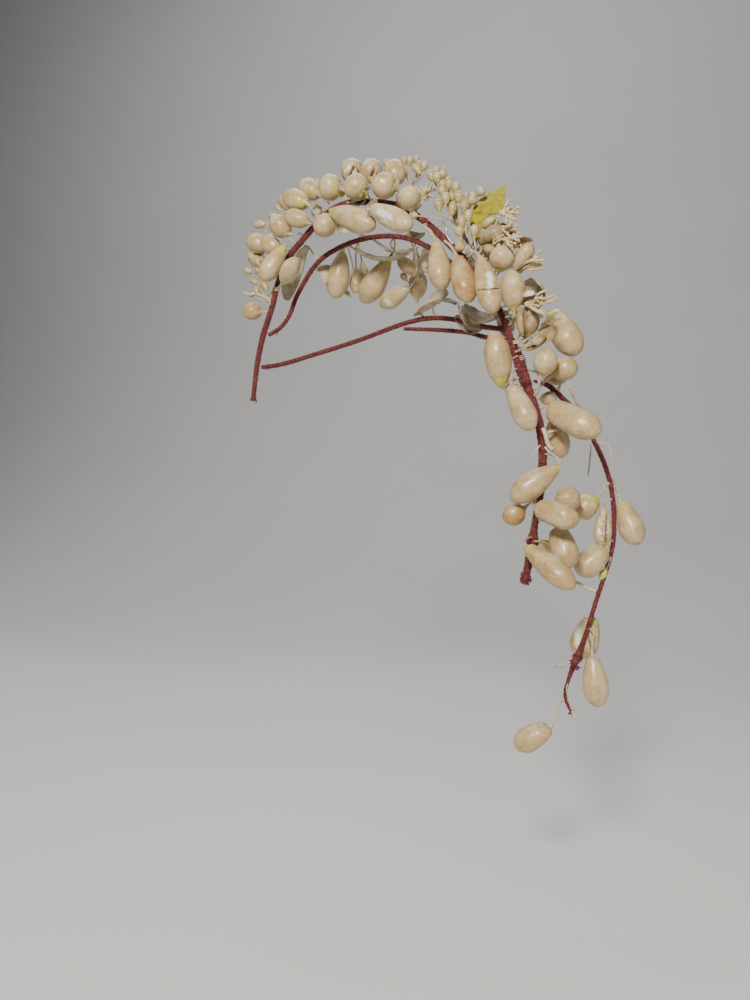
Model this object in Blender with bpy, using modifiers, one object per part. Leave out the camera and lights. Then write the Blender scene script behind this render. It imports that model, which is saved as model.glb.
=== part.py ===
"""A wax flower headpiece: bound wires that carry wax orange-blossom buds, blossoms and a leaf.

Metres, +Z up. X runs to the wearer's left, the wearer faces -Y, and the origin is the point of
the crown that the headpiece rests on, under its arch. The arch stands in the plane Y = 0.
"""
import math
from functools import lru_cache

import bmesh
import bpy
import numpy as np
from mathutils import Vector

MM = 0.001
GAP = 0.35              # what neighbouring pieces keep between them, in mm
TUBE_STEP = 9.0         # a wire's sections lie this far apart, in mm
SPOTS_IN_A_RUN = 9      # how many points stand for the wire between two sections
SPOTS_IN_A_SPAN = 12    # how many points a smooth route takes between two of its own

# The place that the photograph was taken from, in mm, and how it looks at the headpiece.
EYE = np.array([183.0, -337.0, -111.0])
LOOK_TURN = math.radians(28.8)
LOOK_UP = math.radians(2.9)
FOCAL_PIXELS = 780.0
PHOTO_CENTRE_X, PHOTO_CENTRE_Y = 375.0, 500.0

# Each wire's route: photo_x, photo_y, mm behind the arch plane, radius in mm.
WIRES = {
    "arch_wire": [
        (253, 401, 0, 1.2), (257, 366, 0, 1.5), (263, 336, 0, 1.6), (272, 308, 0, 1.6),
        (276, 290, 0, 1.6), (283, 270, 0, 1.7), (291, 254, 0, 1.7), (307, 235, 0, 1.7),
        (325, 215, 0, 1.7), (345, 204, 0, 1.7), (365, 202, 0, 1.7), (395, 205, 0, 1.7),
        (420, 218, 0, 1.7), (440, 235, 0, 1.7), (457, 252, 0, 1.7), (474, 270, 0, 1.8),
        (487, 288, 0, 1.8), (498, 307, 0, 1.9), (505, 325, 0, 1.9), (512, 347, 0, 1.8),
        (517, 368, 0, 1.6), (522, 386, 0, 1.2)],
    "inner_wire": [
        (276, 334, 5, 1.1), (286, 322, 10, 1.2), (296, 298, 13, 1.3), (305, 281, 14, 1.4),
        (318, 262, 14, 1.4), (335, 250, 13, 1.4), (350, 243, 12, 1.4), (368, 238, 12, 1.4),
        (390, 236, 11, 1.4), (410, 239, 10, 1.4), (428, 247, 9, 1.4), (446, 259, 8, 1.4), (462, 274, 7, 1.4),
        (475, 287, 6, 1.3), (484, 297, 3, 1.1)],
    "near_stem": [
        (504, 306, 5, 1.3), (510, 320, 4.5, 1.8), (517, 337, 4, 2.0), (522, 352, 4, 2.1),
        (526, 367, 4, 2.1), (530, 382, 3, 2.1), (534, 397, 1, 2.1), (538, 412, 0, 2.1),
        (541, 427, 0, 2.1), (543, 442, 1, 2.1), (543, 457, 2, 2.0), (542, 472, 2, 1.9),
        (541, 487, 3, 1.8), (539, 502, 3, 1.7), (536, 517, 4, 1.7), (534, 530, 4, 1.7),
        (533, 540, 4, 2.8), (531, 550, 4, 1.8), (529, 562, 4, 1.9), (526, 574, 4, 1.9),
        (524, 584, 4, 1.3)],
    "back_wire_upper": [
        (497, 331, 11, 1.2), (480, 326, 17, 1.4), (462, 321, 22, 1.4), (436, 318, 28, 1.4),
        (406, 323, 30, 1.4), (357, 341, 30, 1.4), (313, 355, 24, 1.4), (283, 364, 14, 1.4),
        (268, 366, 5, 1.2)],
    "back_wire_lower": [
        (502, 342, 12, 1.0), (488, 338, 17, 1.2), (470, 333, 22, 1.2), (440, 330, 28, 1.2),
        (412, 336, 30, 1.0)],
    "trail_wire": [
        (537, 376, 9, 0.6), (546, 384, 12, 1.3), (556, 393, 16, 1.4), (572, 407, 22, 1.4),
        (583, 422, 26, 1.4), (592, 437, 28, 1.4), (602, 458, 30, 1.3), (609, 478, 31, 1.3),
        (613, 500, 32, 1.3), (614, 522, 32, 1.3), (613, 545, 31, 1.2), (607, 568, 29, 1.2),
        (599, 592, 27, 1.2), (592, 614, 25, 1.2), (585, 636, 23, 1.1), (576, 660, 21, 1.8),
        (569, 678, 19, 1.0), (565, 693, 18, 0.9), (567, 705, 17, 0.8), (573, 716, 16, 0.6)],
}

# The wires' ends that are bound to another wire: which end, the other wire and the place in the photo.
BOUND_ENDS = {
    "inner_wire": [(0, "arch_wire", (264, 334)), (-1, "arch_wire", (490, 294))],
    "near_stem": [(0, "arch_wire", (498, 305))],
    "back_wire_upper": [(0, "near_stem", (512, 326)), (-1, "arch_wire", (257, 366))],
    "back_wire_lower": [(0, "near_stem", (517, 337)), (-1, "back_wire_upper", (404, 324))],
    "trail_wire": [(0, "near_stem", (530, 380))],
}
THICK_WIRES = ("near_stem",)
THICK_SIDES, THIN_SIDES = 8, 6

# Each wax bud: calyx end and free end as photo_x, photo_y and mm behind the arch plane, its width
# in mm, its form, and the wire that its stem is bound to with the place of the tie in the photo.
BUDS = [
    ("left_low", (261, 312, -2), (240, 310, -4), 10.5, "round", "arch_wire", (271, 314)),
    ("left_drop", (285, 246, -6), (262, 281, -11), 11.5, "drop", "arch_wire", (296, 248)),
    ("left_oval", (283, 281, -6), (299, 255, -14), 10.5, "oval", "arch_wire", (277, 288)),
    ("left_round", (279, 250, -4), (262, 238, -2), 10.8, "round", "arch_wire", (292, 253)),
    ("left_upper", (289, 234, -4), (269, 217, -8), 11.8, "round", "arch_wire", (305, 238)),
    ("top_pale", (307, 205, 2), (282, 196, 4), 12.4, "round", "arch_wire", (318, 221)),
    ("top_slim", (308, 220, -5), (284, 211, -8), 8.6, "oval", "arch_wire", (315, 225)),
    ("top_left", (318, 194, 4), (299, 185, 8), 11.6, "round", "arch_wire", (330, 212)),
    ("top_capped", (341, 189, 0), (319, 186, -2), 12.0, "round", "arch_wire", (347, 203)),
    ("front_round", (329, 216, -7), (320, 236, -12), 11.6, "round", "arch_wire", (330, 211)),
    ("front_drop", (331, 211, -8), (374, 226, -14), 13.4, "drop", "arch_wire", (337, 207)),
    ("crown_split", (354, 181, 3), (350, 159, 7), 11.2, "round", "arch_wire", (355, 203)),
    ("crown_pierced", (373, 181, 6), (371, 160, 10), 10.8, "round", "arch_wire", (373, 202)),
    ("crown_right", (397, 183, 4), (393, 160, 8), 10.6, "round", "arch_wire", (397, 206)),
    ("crown_frayed", (366, 193, -6), (344, 179, -10), 12.6, "round", "arch_wire", (372, 202)),
    ("crown_large", (396, 189, -7), (371, 182, -12), 12.6, "round", "arch_wire", (398, 206)),
    ("crown_end", (411, 210, -6), (407, 184, -10), 12.2, "round", "arch_wire", (413, 215)),
    ("front_dented", (373, 209, -9), (414, 228, -15), 12.4, "drop", "arch_wire", (379, 203)),
    ("hang_first", (436, 242, -9), (443, 295, -14), 11.0, "drop", "arch_wire", (428, 225)),
    ("hang_second", (457, 257, -10), (470, 304, -14), 11.0, "drop", "arch_wire", (448, 243)),
    ("hang_cracked", (480, 259, -10), (494, 312, -14), 10.8, "drop", "arch_wire", (470, 265)),
    ("side_round", (498, 271, -6), (506, 246, -8), 11.2, "round", "arch_wire", (487, 286)),
    ("side_oval", (514, 310, -5), (511, 268, -9), 10.6, "oval", "near_stem", (512, 325)),
    ("side_large", (552, 313, 13), (577, 354, 7), 13.2, "drop", "near_stem", (517, 335)),
    ("side_middle", (541, 375, -2), (550, 349, -4), 11.4, "round", "near_stem", (534, 396)),
    ("side_far", (553, 374, 8), (577, 364, 10), 10.0, "round", "near_stem", (532, 390)),
    ("front_tall", (502, 386, -8), (494, 332, -12), 12.0, "oval", "arch_wire", (520, 378)),
    ("stem_front", (511, 386, -12), (532, 430, -14), 10.4, "drop", "arch_wire", (517, 370)),
    ("side_low", (549, 408, 0), (600, 433, -4), 12.8, "drop", "near_stem", (537, 408)),
    ("side_behind", (552, 416, 10), (562, 458, 14), 9.8, "drop", "near_stem", (541, 430)),
    ("inside_left", (343, 251, 22), (334, 302, 26), 12.0, "drop", "inner_wire", (350, 243)),
    ("inside_middle", (389, 259, 22), (363, 303, 26), 12.6, "drop", "inner_wire", (393, 236)),
    ("inside_right", (410, 287, 24), (381, 306, 28), 9.6, "drop", "inner_wire", (415, 241)),
    ("low_front", (559, 466, -6), (511, 500, -12), 11.6, "drop", "near_stem", (543, 455)),
    ("low_round", (524, 508, -4), (502, 522, -8), 9.6, "round", "near_stem", (540, 500)),
    ("low_cross", (536, 507, -10), (581, 523, -12), 11.6, "drop", "near_stem", (541, 490)),
    ("low_upright", (570, 512, 6), (566, 487, 4), 10.2, "round", "near_stem", (538, 512)),
    ("low_hanging", (557, 526, 0), (569, 569, -2), 12.2, "drop", "near_stem", (536, 519)),
    ("low_last", (527, 547, -7), (574, 588, -10), 12.0, "drop", "near_stem", (534, 536)),
    ("trail_yellow", (597, 498, 24), (575, 515, 20), 11.0, "drop", "trail_wire", (610, 484)),
    ("trail_wide", (606, 548, 24), (577, 574, 20), 12.6, "drop", "trail_wire", (613, 540)),
    ("trail_outer", (621, 502, 34), (638, 545, 34), 11.2, "drop", "trail_wire", (610, 480)),
    ("trail_split", (592, 616, 32), (580, 659, 30), 12.4, "drop", "trail_wire", (596, 602)),
    ("trail_low", (592, 656, 20), (598, 707, 20), 10.8, "drop", "trail_wire", (588, 628)),
    ("trail_tip", (550, 727, 14), (513, 748, 12), 12.0, "drop", "trail_wire", (566, 699)),
]
STEM_RADIUS = 0.75
BUD_SIDES = 10
FACET_ALLOWANCE = 1.04  # a ten-sided section is this much wider, to have its round one's girth
STEM_END_ROOM = 0.25    # a stem ends square to its wire, this much further off for its tilt, in mm
STEM_SPREAD = 0.45      # how far a stem runs straight on from its calyx, as a share of its length
STEM_APPROACH = 0.25    # how far out it turns square to its wire, as a share of its length
STEM_PLACES = (0.35, 0.72, 1.0)
BALLS_IN_A_BUD = 8      # how many balls stand for a bud when pieces are eased apart

# A bud's outline from calyx to free end: share of its length, share of its widest radius.
FORMS = {
    "round": [(0.0, 0.26), (0.12, 0.66), (0.36, 0.98), (0.66, 0.96), (0.92, 0.52), (1.0, 0.14)],
    "oval": [(0.0, 0.22), (0.12, 0.62), (0.36, 0.96), (0.68, 0.97), (0.93, 0.52), (1.0, 0.14)],
    "drop": [(0.0, 0.18), (0.20, 0.60), (0.46, 0.92), (0.72, 0.99), (0.93, 0.58), (1.0, 0.14)],
}

# Each cluster of small buds: its twig from the arch wire outwards, as photo_x, photo_y and mm behind
# the arch plane, then each small bud's place, the twig's point that carries it and its width in mm.
SPRIGS = {
    "sprig_left": (
        [(269, 306, 4), (262, 290, 7), (262, 272, 8), (263, 252, 8)],
        [(255, 288, 5, 0, 4.2), (272, 291, 10, 1, 3.6), (246, 276, 6, 1, 4.0), (249, 263, 6, 1, 4.4),
         (252, 250, 8, 2, 5.4), (256, 240, 12, 3, 4.4), (264, 222, 12, 3, 5.4)]),
    "sprig_crown": (
        [(415, 213, 4), (414, 198, 9), (414, 184, 10)],
        [(409, 164, 12, 2, 4.0), (414, 159, 16, 2, 4.0), (420, 162, 10, 2, 4.0), (426, 172, 7, 2, 4.0)]),
    "sprig_top": (
        [(470, 262, 4), (465, 240, 5), (458, 222, 5), (453, 206, 6)],
        [(432, 176, 6, 3, 4.2), (443, 173, 10, 3, 4.2), (452, 180, 4, 3, 4.2), (440, 190, 2, 3, 4.4),
         (462, 188, 6, 3, 4.4), (474, 194, 4, 3, 4.2), (438, 205, 4, 2, 4.2), (466, 205, 0, 2, 4.6),
         (445, 216, -2, 1, 4.0), (459, 230, 2, 1, 4.2)]),
}
TWIG_RADIUS = 0.9
TWIG_END_ROOM = 0.6
SPRIG_STEM_RADIUS = 0.45
SMALL_BUD_LENGTH = 4.6
# A small bud's outline from its free end: share of its length from its middle, share of its width.
SMALL_BUD_FORM = [(0.50, 0.14), (0.10, 0.50), (-0.40, 0.28)]
SMALL_BUD_NECK = -0.65  # where its stem has its own girth, as a share of its length from its middle

# Each opened blossom, a cup with a brush of stamens: the foot and mouth of the cup, the top of the
# brush, and the wire that its stem is bound to with the place of the tie in the photo.
BLOSSOMS = {
    "upper": ((488, 249, 0), (500, 229, -3), (511, 204, -5), "arch_wire", (477, 274)),
    "lower": ((529, 339, 2), (536, 317, 0), (544, 298, -2), "near_stem", (519, 347)),
}
CUP_RADIUS = 5.6
CUP_WALL = 1.2
CUP_STEPS = 10
# A cup's outer side from foot to rim: share of its height, share of its mouth's radius.
CUP_SIDE = [(0.0, 0.20), (0.12, 0.60), (0.45, 0.97), (1.0, 0.88)]
CUP_FLOOR = 1.7         # the floor's thickness in mm
BRUSH_LOCKS = 4
BRUSH_FOOT_RADIUS = 1.2
BRUSH_SPREAD = 3.6      # how far a lock's tip stands out from the brush's axis, in mm
LOCK_RADIUS = 1.1
LOCK_TIP_RADIUS = 0.6
LOCK_ROOT = 0.15        # where a lock starts and bends, as shares of the brush's length
LOCK_BEND = 0.6
LOCK_BEND_SPREAD = 0.45

# Each leaf: photo_x, photo_y, mm behind the arch plane, half width and depth of its fold in mm, from
# the foot that is bound to its wire.
LEAVES = {
    "leaf": ("arch_wire", (474, 269), [
        (475, 262, 4, 0.6, 0.1), (479, 240, 12, 1.0, 0.3), (482, 228, 12, 3.2, 1.0),
        (487, 215, 11, 6.0, 1.8), (494, 203, 10, 5.8, 1.8), (500, 194, 9, 3.0, 0.9),
        (504, 187, 8, 0.5, 0.2)]),
    "inner_leaf": ("inner_wire", (352, 243), [
        (353, 246, 15, 0.8, 0.2), (361, 250, 17, 2.4, 0.8), (372, 250, 17, 3.0, 1.0),
        (384, 249, 17, 0.8, 0.2)]),
}
LEAF_THICKNESS = 0.8
LEAF_FOLDS = (-1.0, -0.5, 0.0, 0.5, 1.0)


def line_of_sight(photo_x, photo_y):
    """The direction, from the eye, of one place in the photograph."""
    ahead = np.array([-math.sin(LOOK_TURN) * math.cos(LOOK_UP),
                      math.cos(LOOK_TURN) * math.cos(LOOK_UP), math.sin(LOOK_UP)])
    right = np.array([math.cos(LOOK_TURN), math.sin(LOOK_TURN), 0.0])
    up = np.cross(right, ahead)
    across = (photo_x - PHOTO_CENTRE_X) / FOCAL_PIXELS
    above = (PHOTO_CENTRE_Y - photo_y) / FOCAL_PIXELS
    return ahead + across * right + above * up


def sighted(photo_x, photo_y, behind):
    """The point, in mm, that the photograph shows here and that lies this far behind the arch."""
    direction = line_of_sight(photo_x, photo_y)
    return EYE + direction * (behind - EYE[1]) / direction[1]


def unit(vector):
    return vector / np.linalg.norm(vector)


def smooth_route(points, step):
    """Even points on a smooth curve through the given ones, each a row of values."""
    points = np.array(points, dtype=float)
    padded = np.vstack([2 * points[0] - points[1], points, 2 * points[-1] - points[-2]])
    dense = []
    for before, start, end, after in zip(padded, padded[1:], padded[2:], padded[3:]):
        for t in np.linspace(0.0, 1.0, SPOTS_IN_A_SPAN, endpoint=False):
            dense.append(0.5 * (2 * start + (end - before) * t
                                + (2 * before - 5 * start + 4 * end - after) * t ** 2
                                + (3 * start - before - 3 * end + after) * t ** 3))
    dense = np.array(dense + [points[-1]])
    runs = np.concatenate([[0.0], np.cumsum(np.linalg.norm(np.diff(dense[:, :3], axis=0), axis=1))])
    count = max(2, round(runs[-1] / step) + 1)
    evenly = np.linspace(0.0, runs[-1], count)
    return np.stack([np.interp(evenly, runs, column) for column in dense.T], axis=1)


@lru_cache(maxsize=None)
def wire_sections(name):
    """A wire's sections, each x, y, z and radius in mm."""
    places = [[*sighted(x, y, behind), radius] for x, y, behind, radius in WIRES[name]]
    for end, other, tie in BOUND_ENDS.get(name, []):
        places[end][:3] = bound_foot(np.array(places[end][:3]), other, tie, places[end][3])
    return smooth_route(places, TUBE_STEP)


@lru_cache(maxsize=None)
def wire_spots(name):
    """The wire's straight runs between its sections, as close points with their radii."""
    sections = wire_sections(name)
    runs = [np.linspace(start, end, SPOTS_IN_A_RUN, endpoint=False)
            for start, end in zip(sections, sections[1:])]
    return np.vstack([*runs, sections[-1:]])


def tie_on(wire, photo_x, photo_y):
    """The wire's point, tangent and radius where the photograph shows something bound to it."""
    spots = wire_spots(wire)
    away = np.cross(spots[:, :3] - EYE, unit(line_of_sight(photo_x, photo_y)))
    nearest = min(max(int(np.argmin(np.linalg.norm(away, axis=1))), 1), len(spots) - 2)
    tangent = unit(spots[nearest + 1, :3] - spots[nearest - 1, :3])
    return spots[nearest, :3], tangent, spots[nearest, 3]


def bound_foot(start, wire, tie, room):
    """Where a stem from the start point ends, this far off the side of a wire and its gap."""
    point, tangent, radius = tie_on(wire, *tie)
    facing = start - point
    facing = unit(facing - tangent * (facing @ tangent))
    return point + facing * (radius + GAP + room)


def bud_balls(calyx, free, width, form):
    """Balls inside a bud's skin, as centres and radii, that stand for it when pieces are eased apart."""
    shares, wides = np.array(FORMS[form]).T
    places = (np.arange(BALLS_IN_A_BUD) + 0.6) / (BALLS_IN_A_BUD + 0.2)
    radii = np.interp(places, shares, wides) * width / 2 * FACET_ALLOWANCE
    return calyx + np.outer(places, free - calyx), radii


def clearance(balls, others):
    """The smallest space between two sets of balls."""
    apart = np.linalg.norm(balls[0][:, None] - others[0][None], axis=2)
    return (apart - balls[1][:, None] - others[1][None]).min()


def placed_buds(rounds=160, nudge=0.5):
    """Each bud's calyx and free end, eased apart along the lines of sight until none touch."""
    ends = {name: [sighted(*calyx), sighted(*free)] for name, calyx, free, *rest in BUDS}
    sizes = {name: (width, form) for name, calyx, free, width, form, *rest in BUDS}
    obstacles = [(spots[:, :3], spots[:, 3]) for spots in map(wire_spots, WIRES)]
    sight = {name: unit(np.mean(ends[name], axis=0) - EYE) for name in ends}
    names = list(ends)
    for _ in range(rounds):
        balls = {name: bud_balls(*ends[name], *sizes[name]) for name in names}
        moves = {name: 0.0 for name in names}
        for index, name in enumerate(names):
            for other in names[index + 1:]:
                if clearance(balls[name], balls[other]) < 2 * GAP:
                    nearer = sight[name] @ (balls[name][0].mean(axis=0) - balls[other][0].mean(axis=0))
                    moves[name] += math.copysign(nudge, nearer)
                    moves[other] -= math.copysign(nudge, nearer)
            for obstacle in obstacles:
                if clearance(balls[name], obstacle) < 2 * GAP:
                    middle = balls[name][0].mean(axis=0)
                    closest = obstacle[0][np.argmin(np.linalg.norm(obstacle[0] - middle, axis=1))]
                    moves[name] += math.copysign(nudge, sight[name] @ (middle - closest))
        if not any(moves.values()):
            break
        for name in names:
            ends[name] = [end + sight[name] * np.clip(moves[name], -nudge, nudge) for end in ends[name]]
    return ends


def stem_route(calyx, outward, wire, tie):
    """A stem's inner points, from the calyx round to the side of the wire that faces it."""
    foot = bound_foot(calyx, wire, tie, STEM_END_ROOM)
    point = tie_on(wire, *tie)[0]
    span = np.linalg.norm(foot - calyx)
    first = calyx + outward * span * STEM_SPREAD
    second = foot + unit(foot - point) * span * STEM_APPROACH
    return np.array([(1 - t) ** 3 * calyx + 3 * (1 - t) ** 2 * t * first
                     + 3 * (1 - t) * t ** 2 * second + t ** 3 * foot for t in STEM_PLACES])


def obstacles_but(name, ends):
    """The balls of every wire and of every bud but this one."""
    others = [bud_balls(*ends[other], width, form) for other, _, _, width, form, *rest in BUDS
              if other != name]
    return others + [(spots[:, :3], spots[:, 3]) for spots in map(wire_spots, WIRES)]


def eased_stem(route, obstacles, rounds=60):
    """The stem with its inner points pushed clear of the pieces round it."""
    route = route.copy()
    room = STEM_RADIUS + 2 * GAP
    for _ in range(rounds):
        moved = False
        for index in range(len(route) - 1):
            for centres, radii in obstacles:
                away = route[index] - centres
                apart = np.linalg.norm(away, axis=1) - radii
                closest = int(np.argmin(apart))
                if apart[closest] < room:
                    route[index] += unit(away[closest]) * (room - apart[closest])
                    moved = True
        if not moved:
            break
    return route


def material(name, colour, roughness):
    """One Principled material."""
    made = bpy.data.materials.get(name) or bpy.data.materials.new(name)
    made.use_nodes = True
    shader = made.node_tree.nodes["Principled BSDF"]
    shader.inputs["Base Color"].default_value = (*colour, 1.0)
    shader.inputs["Roughness"].default_value = roughness
    return made


def tube(name, sections, sides, made_of):
    """A curve object with closed ends through sections of x, y, z and radius in mm.

    Its origin is its last section: the end that is bound or free, but never the bud.
    """
    curve = bpy.data.curves.new(name, "CURVE")
    curve.dimensions = "3D"
    curve.bevel_depth = MM
    curve.bevel_resolution = sides // 2 - 2
    curve.use_fill_caps = True
    spline = curve.splines.new("POLY")
    spline.points.add(len(sections) - 1)
    origin = np.array(sections[-1][:3])
    for point, (*place, radius) in zip(spline.points, sections):
        point.co = (*((place - origin) * MM), 1.0)
        point.radius = radius
    made = bpy.data.objects.new(name, curve)
    made.location = origin * MM
    made.data.materials.append(made_of)
    bpy.data.collections["wax_flower_headpiece"].objects.link(made)
    return made


def make_wires():
    """The paper-wrapped wires."""
    paper = material("crimson_paper", (0.24, 0.03, 0.04), 0.85)
    for name in WIRES:
        tube(name, wire_sections(name), THICK_SIDES if name in THICK_WIRES else THIN_SIDES, paper)


def make_buds(ends):
    """The wax buds, each one tube that narrows through its calyx into its stem."""
    wax = material("wax", (0.62, 0.50, 0.35), 0.35)
    for name, _, _, width, form, wire, tie in BUDS:
        calyx, free = ends[name]
        route = stem_route(calyx, unit(calyx - free), wire, tie)
        stem = eased_stem(route, obstacles_but(name, ends))
        body = [(*(calyx + (free - calyx) * share), wide * width / 2 * FACET_ALLOWANCE)
                for share, wide in reversed(FORMS[form])]
        tube("bud_" + name, body + [(*point, STEM_RADIUS) for point in stem], BUD_SIDES, wax)


def solid_mesh(thing):
    """A curve object made a mesh object, with its end caps welded on."""
    bpy.context.view_layer.update()
    shaped = thing.evaluated_get(bpy.context.evaluated_depsgraph_get())
    mesh = bpy.data.meshes.new_from_object(shaped)
    welded = bmesh.new()
    welded.from_mesh(mesh)
    bmesh.ops.remove_doubles(welded, verts=welded.verts, dist=0.00001)
    bmesh.ops.recalc_face_normals(welded, faces=welded.faces)
    welded.to_mesh(mesh)
    welded.free()
    made = bpy.data.objects.new(thing.name, mesh)
    made.matrix_world = thing.matrix_world
    bpy.data.objects.remove(thing, do_unlink=True)
    return made


def join_all(core, branches):
    """Each branch joined to the core, so that they are one body."""
    for branch in branches:
        branch = solid_mesh(branch)
        bpy.data.collections["cutters"].objects.link(branch)
        branch.hide_render = True
        branch.display_type = "WIRE"
        join = core.modifiers.new(branch.name, "BOOLEAN")
        join.operation = "UNION"
        join.object = branch


def fused(name, core, branches):
    """The core tube as a mesh under this name, with its branches joined to it."""
    core = solid_mesh(core)
    core.name = name
    bpy.data.collections["wax_flower_headpiece"].objects.link(core)
    join_all(core, branches)


def make_sprigs():
    """The clusters of small buds on their twigs."""
    wax = material("small_bud_wax", (0.58, 0.50, 0.30), 0.4)
    for name, (twig, buds) in SPRIGS.items():
        spots = [sighted(*spot) for spot in twig]
        spots[0] = bound_foot(spots[1], "arch_wire", twig[0][:2], TWIG_END_ROOM)
        core = tube(name + "_twig", [(*spot, TWIG_RADIUS) for spot in spots], THIN_SIDES, wax)
        branches = []
        for number, (photo_x, photo_y, behind, spot, width) in enumerate(buds):
            middle = sighted(photo_x, photo_y, behind)
            inner, outer = spots[max(spot - 1, 0)], spots[max(spot, 1)]
            root = spots[spot] + unit(inner - outer) * (TWIG_RADIUS if spot else -2 * TWIG_RADIUS)
            outward = unit(middle - root)
            sections = [(*(middle + outward * along * SMALL_BUD_LENGTH), wide * width)
                        for along, wide in SMALL_BUD_FORM]
            sections += [(*(middle + outward * SMALL_BUD_NECK * SMALL_BUD_LENGTH), SPRIG_STEM_RADIUS),
                         (*root, SPRIG_STEM_RADIUS)]
            branches.append(tube(f"{name}_{number}", sections, THIN_SIDES, wax))
        fused(name, core, branches)


def make_stamens(name, foot, top):
    """A brush of dried stamens, a fan of locks on one foot."""
    straw = material("stamen_straw", (0.62, 0.52, 0.34), 0.7)
    side = unit(np.cross(top - foot, (0.0, 1.0, 0.0)))
    other_side = np.cross(unit(top - foot), side)
    core = tube(name + "_core", [(*foot, BRUSH_FOOT_RADIUS), (*top, LOCK_TIP_RADIUS)], THIN_SIDES, straw)
    locks = []
    for lock in range(BRUSH_LOCKS):
        turn = 2 * math.pi * lock / BRUSH_LOCKS
        outward = side * math.cos(turn) + other_side * math.sin(turn)
        tip = top + outward * BRUSH_SPREAD
        bend = foot + (top - foot) * LOCK_BEND + outward * BRUSH_SPREAD * LOCK_BEND_SPREAD
        root = foot + (top - foot) * LOCK_ROOT
        sections = [(*tip, LOCK_TIP_RADIUS), (*bend, LOCK_RADIUS), (*root, LOCK_TIP_RADIUS)]
        locks.append(tube(f"{name}_{lock}", sections, THIN_SIDES, straw))
    fused(name, core, locks)


def make_cup(name, foot, mouth, stem):
    """An opened blossom's cup, turned with a real wall, on its stem."""
    height = np.linalg.norm(mouth - foot)
    outside = [(wide * CUP_RADIUS, share * height) for share, wide in reversed(CUP_SIDE)]
    inside = [(radius - CUP_WALL, max(level, CUP_FLOOR)) for radius, level in outside[:-1]]
    outline = [(0.0, CUP_FLOOR)] + list(reversed(inside)) + outside + [(0.0, 0.0)]
    mesh = bpy.data.meshes.new(name)
    spots = [(radius * MM, 0.0, level * MM) for radius, level in outline]
    mesh.from_pydata(spots, [(at, at + 1) for at in range(len(spots) - 1)], [])
    cup = bpy.data.objects.new(name, mesh)
    cup.data.materials.append(material("petal_wax", (0.45, 0.33, 0.20), 0.45))
    turn = cup.modifiers.new("turned", "SCREW")
    turn.steps = CUP_STEPS
    turn.render_steps = CUP_STEPS
    turn.use_merge_vertices = True
    turn.merge_threshold = 0.00005
    cup.location = foot * MM
    cup.rotation_mode = "QUATERNION"
    cup.rotation_quaternion = Vector(mouth - foot).to_track_quat("Z", "Y")
    bpy.data.collections["wax_flower_headpiece"].objects.link(cup)
    join_all(cup, [stem])


def make_blossoms(ends):
    """The opened blossoms: cups on stems, each with its brush of stamens."""
    stem_paper = material("stem_paper", (0.50, 0.44, 0.32), 0.8)
    for name, (foot, mouth, top, wire, tie) in BLOSSOMS.items():
        foot, mouth, top = sighted(*foot), sighted(*mouth), sighted(*top)
        axis = unit(mouth - foot)
        route = eased_stem(stem_route(foot, -axis, wire, tie), obstacles_but(None, ends))
        start = foot + axis * CUP_FLOOR / 2
        sections = [(*point, STEM_RADIUS) for point in (start, *route)]
        stem = tube(name + "_stem", sections, THIN_SIDES, stem_paper)
        make_cup("blossom_" + name, foot, mouth, stem)
        make_stamens("stamens_" + name, foot + axis * (CUP_FLOOR + GAP), top)


def make_leaves():
    """The folded leaf and the pale crinkled one, as sheets with a real thickness."""
    colours = {"leaf": (0.33, 0.34, 0.06), "inner_leaf": (0.50, 0.42, 0.30)}
    for name, (wire, tie, rows) in LEAVES.items():
        spine = [sighted(photo_x, photo_y, behind) for photo_x, photo_y, behind, *rest in rows]
        spine[0] = bound_foot(spine[1], wire, tie, STEM_END_ROOM)
        spots = []
        for index, (photo_x, photo_y, behind, half_width, fold) in enumerate(rows):
            along = unit(spine[min(index + 1, len(rows) - 1)] - spine[max(index - 1, 0)])
            side = unit(np.cross(along, line_of_sight(photo_x, photo_y)))
            face = np.cross(side, along)
            for share in LEAF_FOLDS:
                spot = spine[index] + side * share * half_width + face * abs(share) * fold
                spots.append((spot - spine[0]) * MM)
        across = len(LEAF_FOLDS)
        faces = [(row * across + column, row * across + column + 1,
                  (row + 1) * across + column + 1, (row + 1) * across + column)
                 for row in range(len(rows) - 1) for column in range(across - 1)]
        mesh = bpy.data.meshes.new(name)
        mesh.from_pydata(spots, [], faces)
        sheet = bpy.data.objects.new(name, mesh)
        sheet.data.materials.append(material(name + "_paper", colours[name], 0.6))
        sheet.location = spine[0] * MM
        wall = sheet.modifiers.new("wall", "SOLIDIFY")
        wall.thickness = LEAF_THICKNESS * MM
        wall.offset = 0.0
        bpy.data.collections["wax_flower_headpiece"].objects.link(sheet)


def main():
    for thing in list(bpy.data.objects):
        bpy.data.objects.remove(thing, do_unlink=True)
    for name in ("wax_flower_headpiece", "cutters"):
        bpy.context.scene.collection.children.link(bpy.data.collections.new(name))
    make_wires()
    ends = placed_buds()
    make_buds(ends)
    make_sprigs()
    make_blossoms(ends)
    make_leaves()


main()
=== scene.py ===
# %% [markdown]
# A wax flower headpiece, dressed for its portrait.
#
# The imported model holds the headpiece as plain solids: red paper-wrapped wires, wax buds on stems,
# two opened blossoms, leaves and sprigs of small buds. This lesson loads them as a fixed frame and
# gives each one the skin, the colour and the small damage of the real thing, which is about a
# century old. Everything is in metres, in the frame of the model, and nothing else is read.

# %% Load the model
import math

import bmesh
import bpy
import numpy as np
from mathutils import Matrix, Vector, noise


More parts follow.
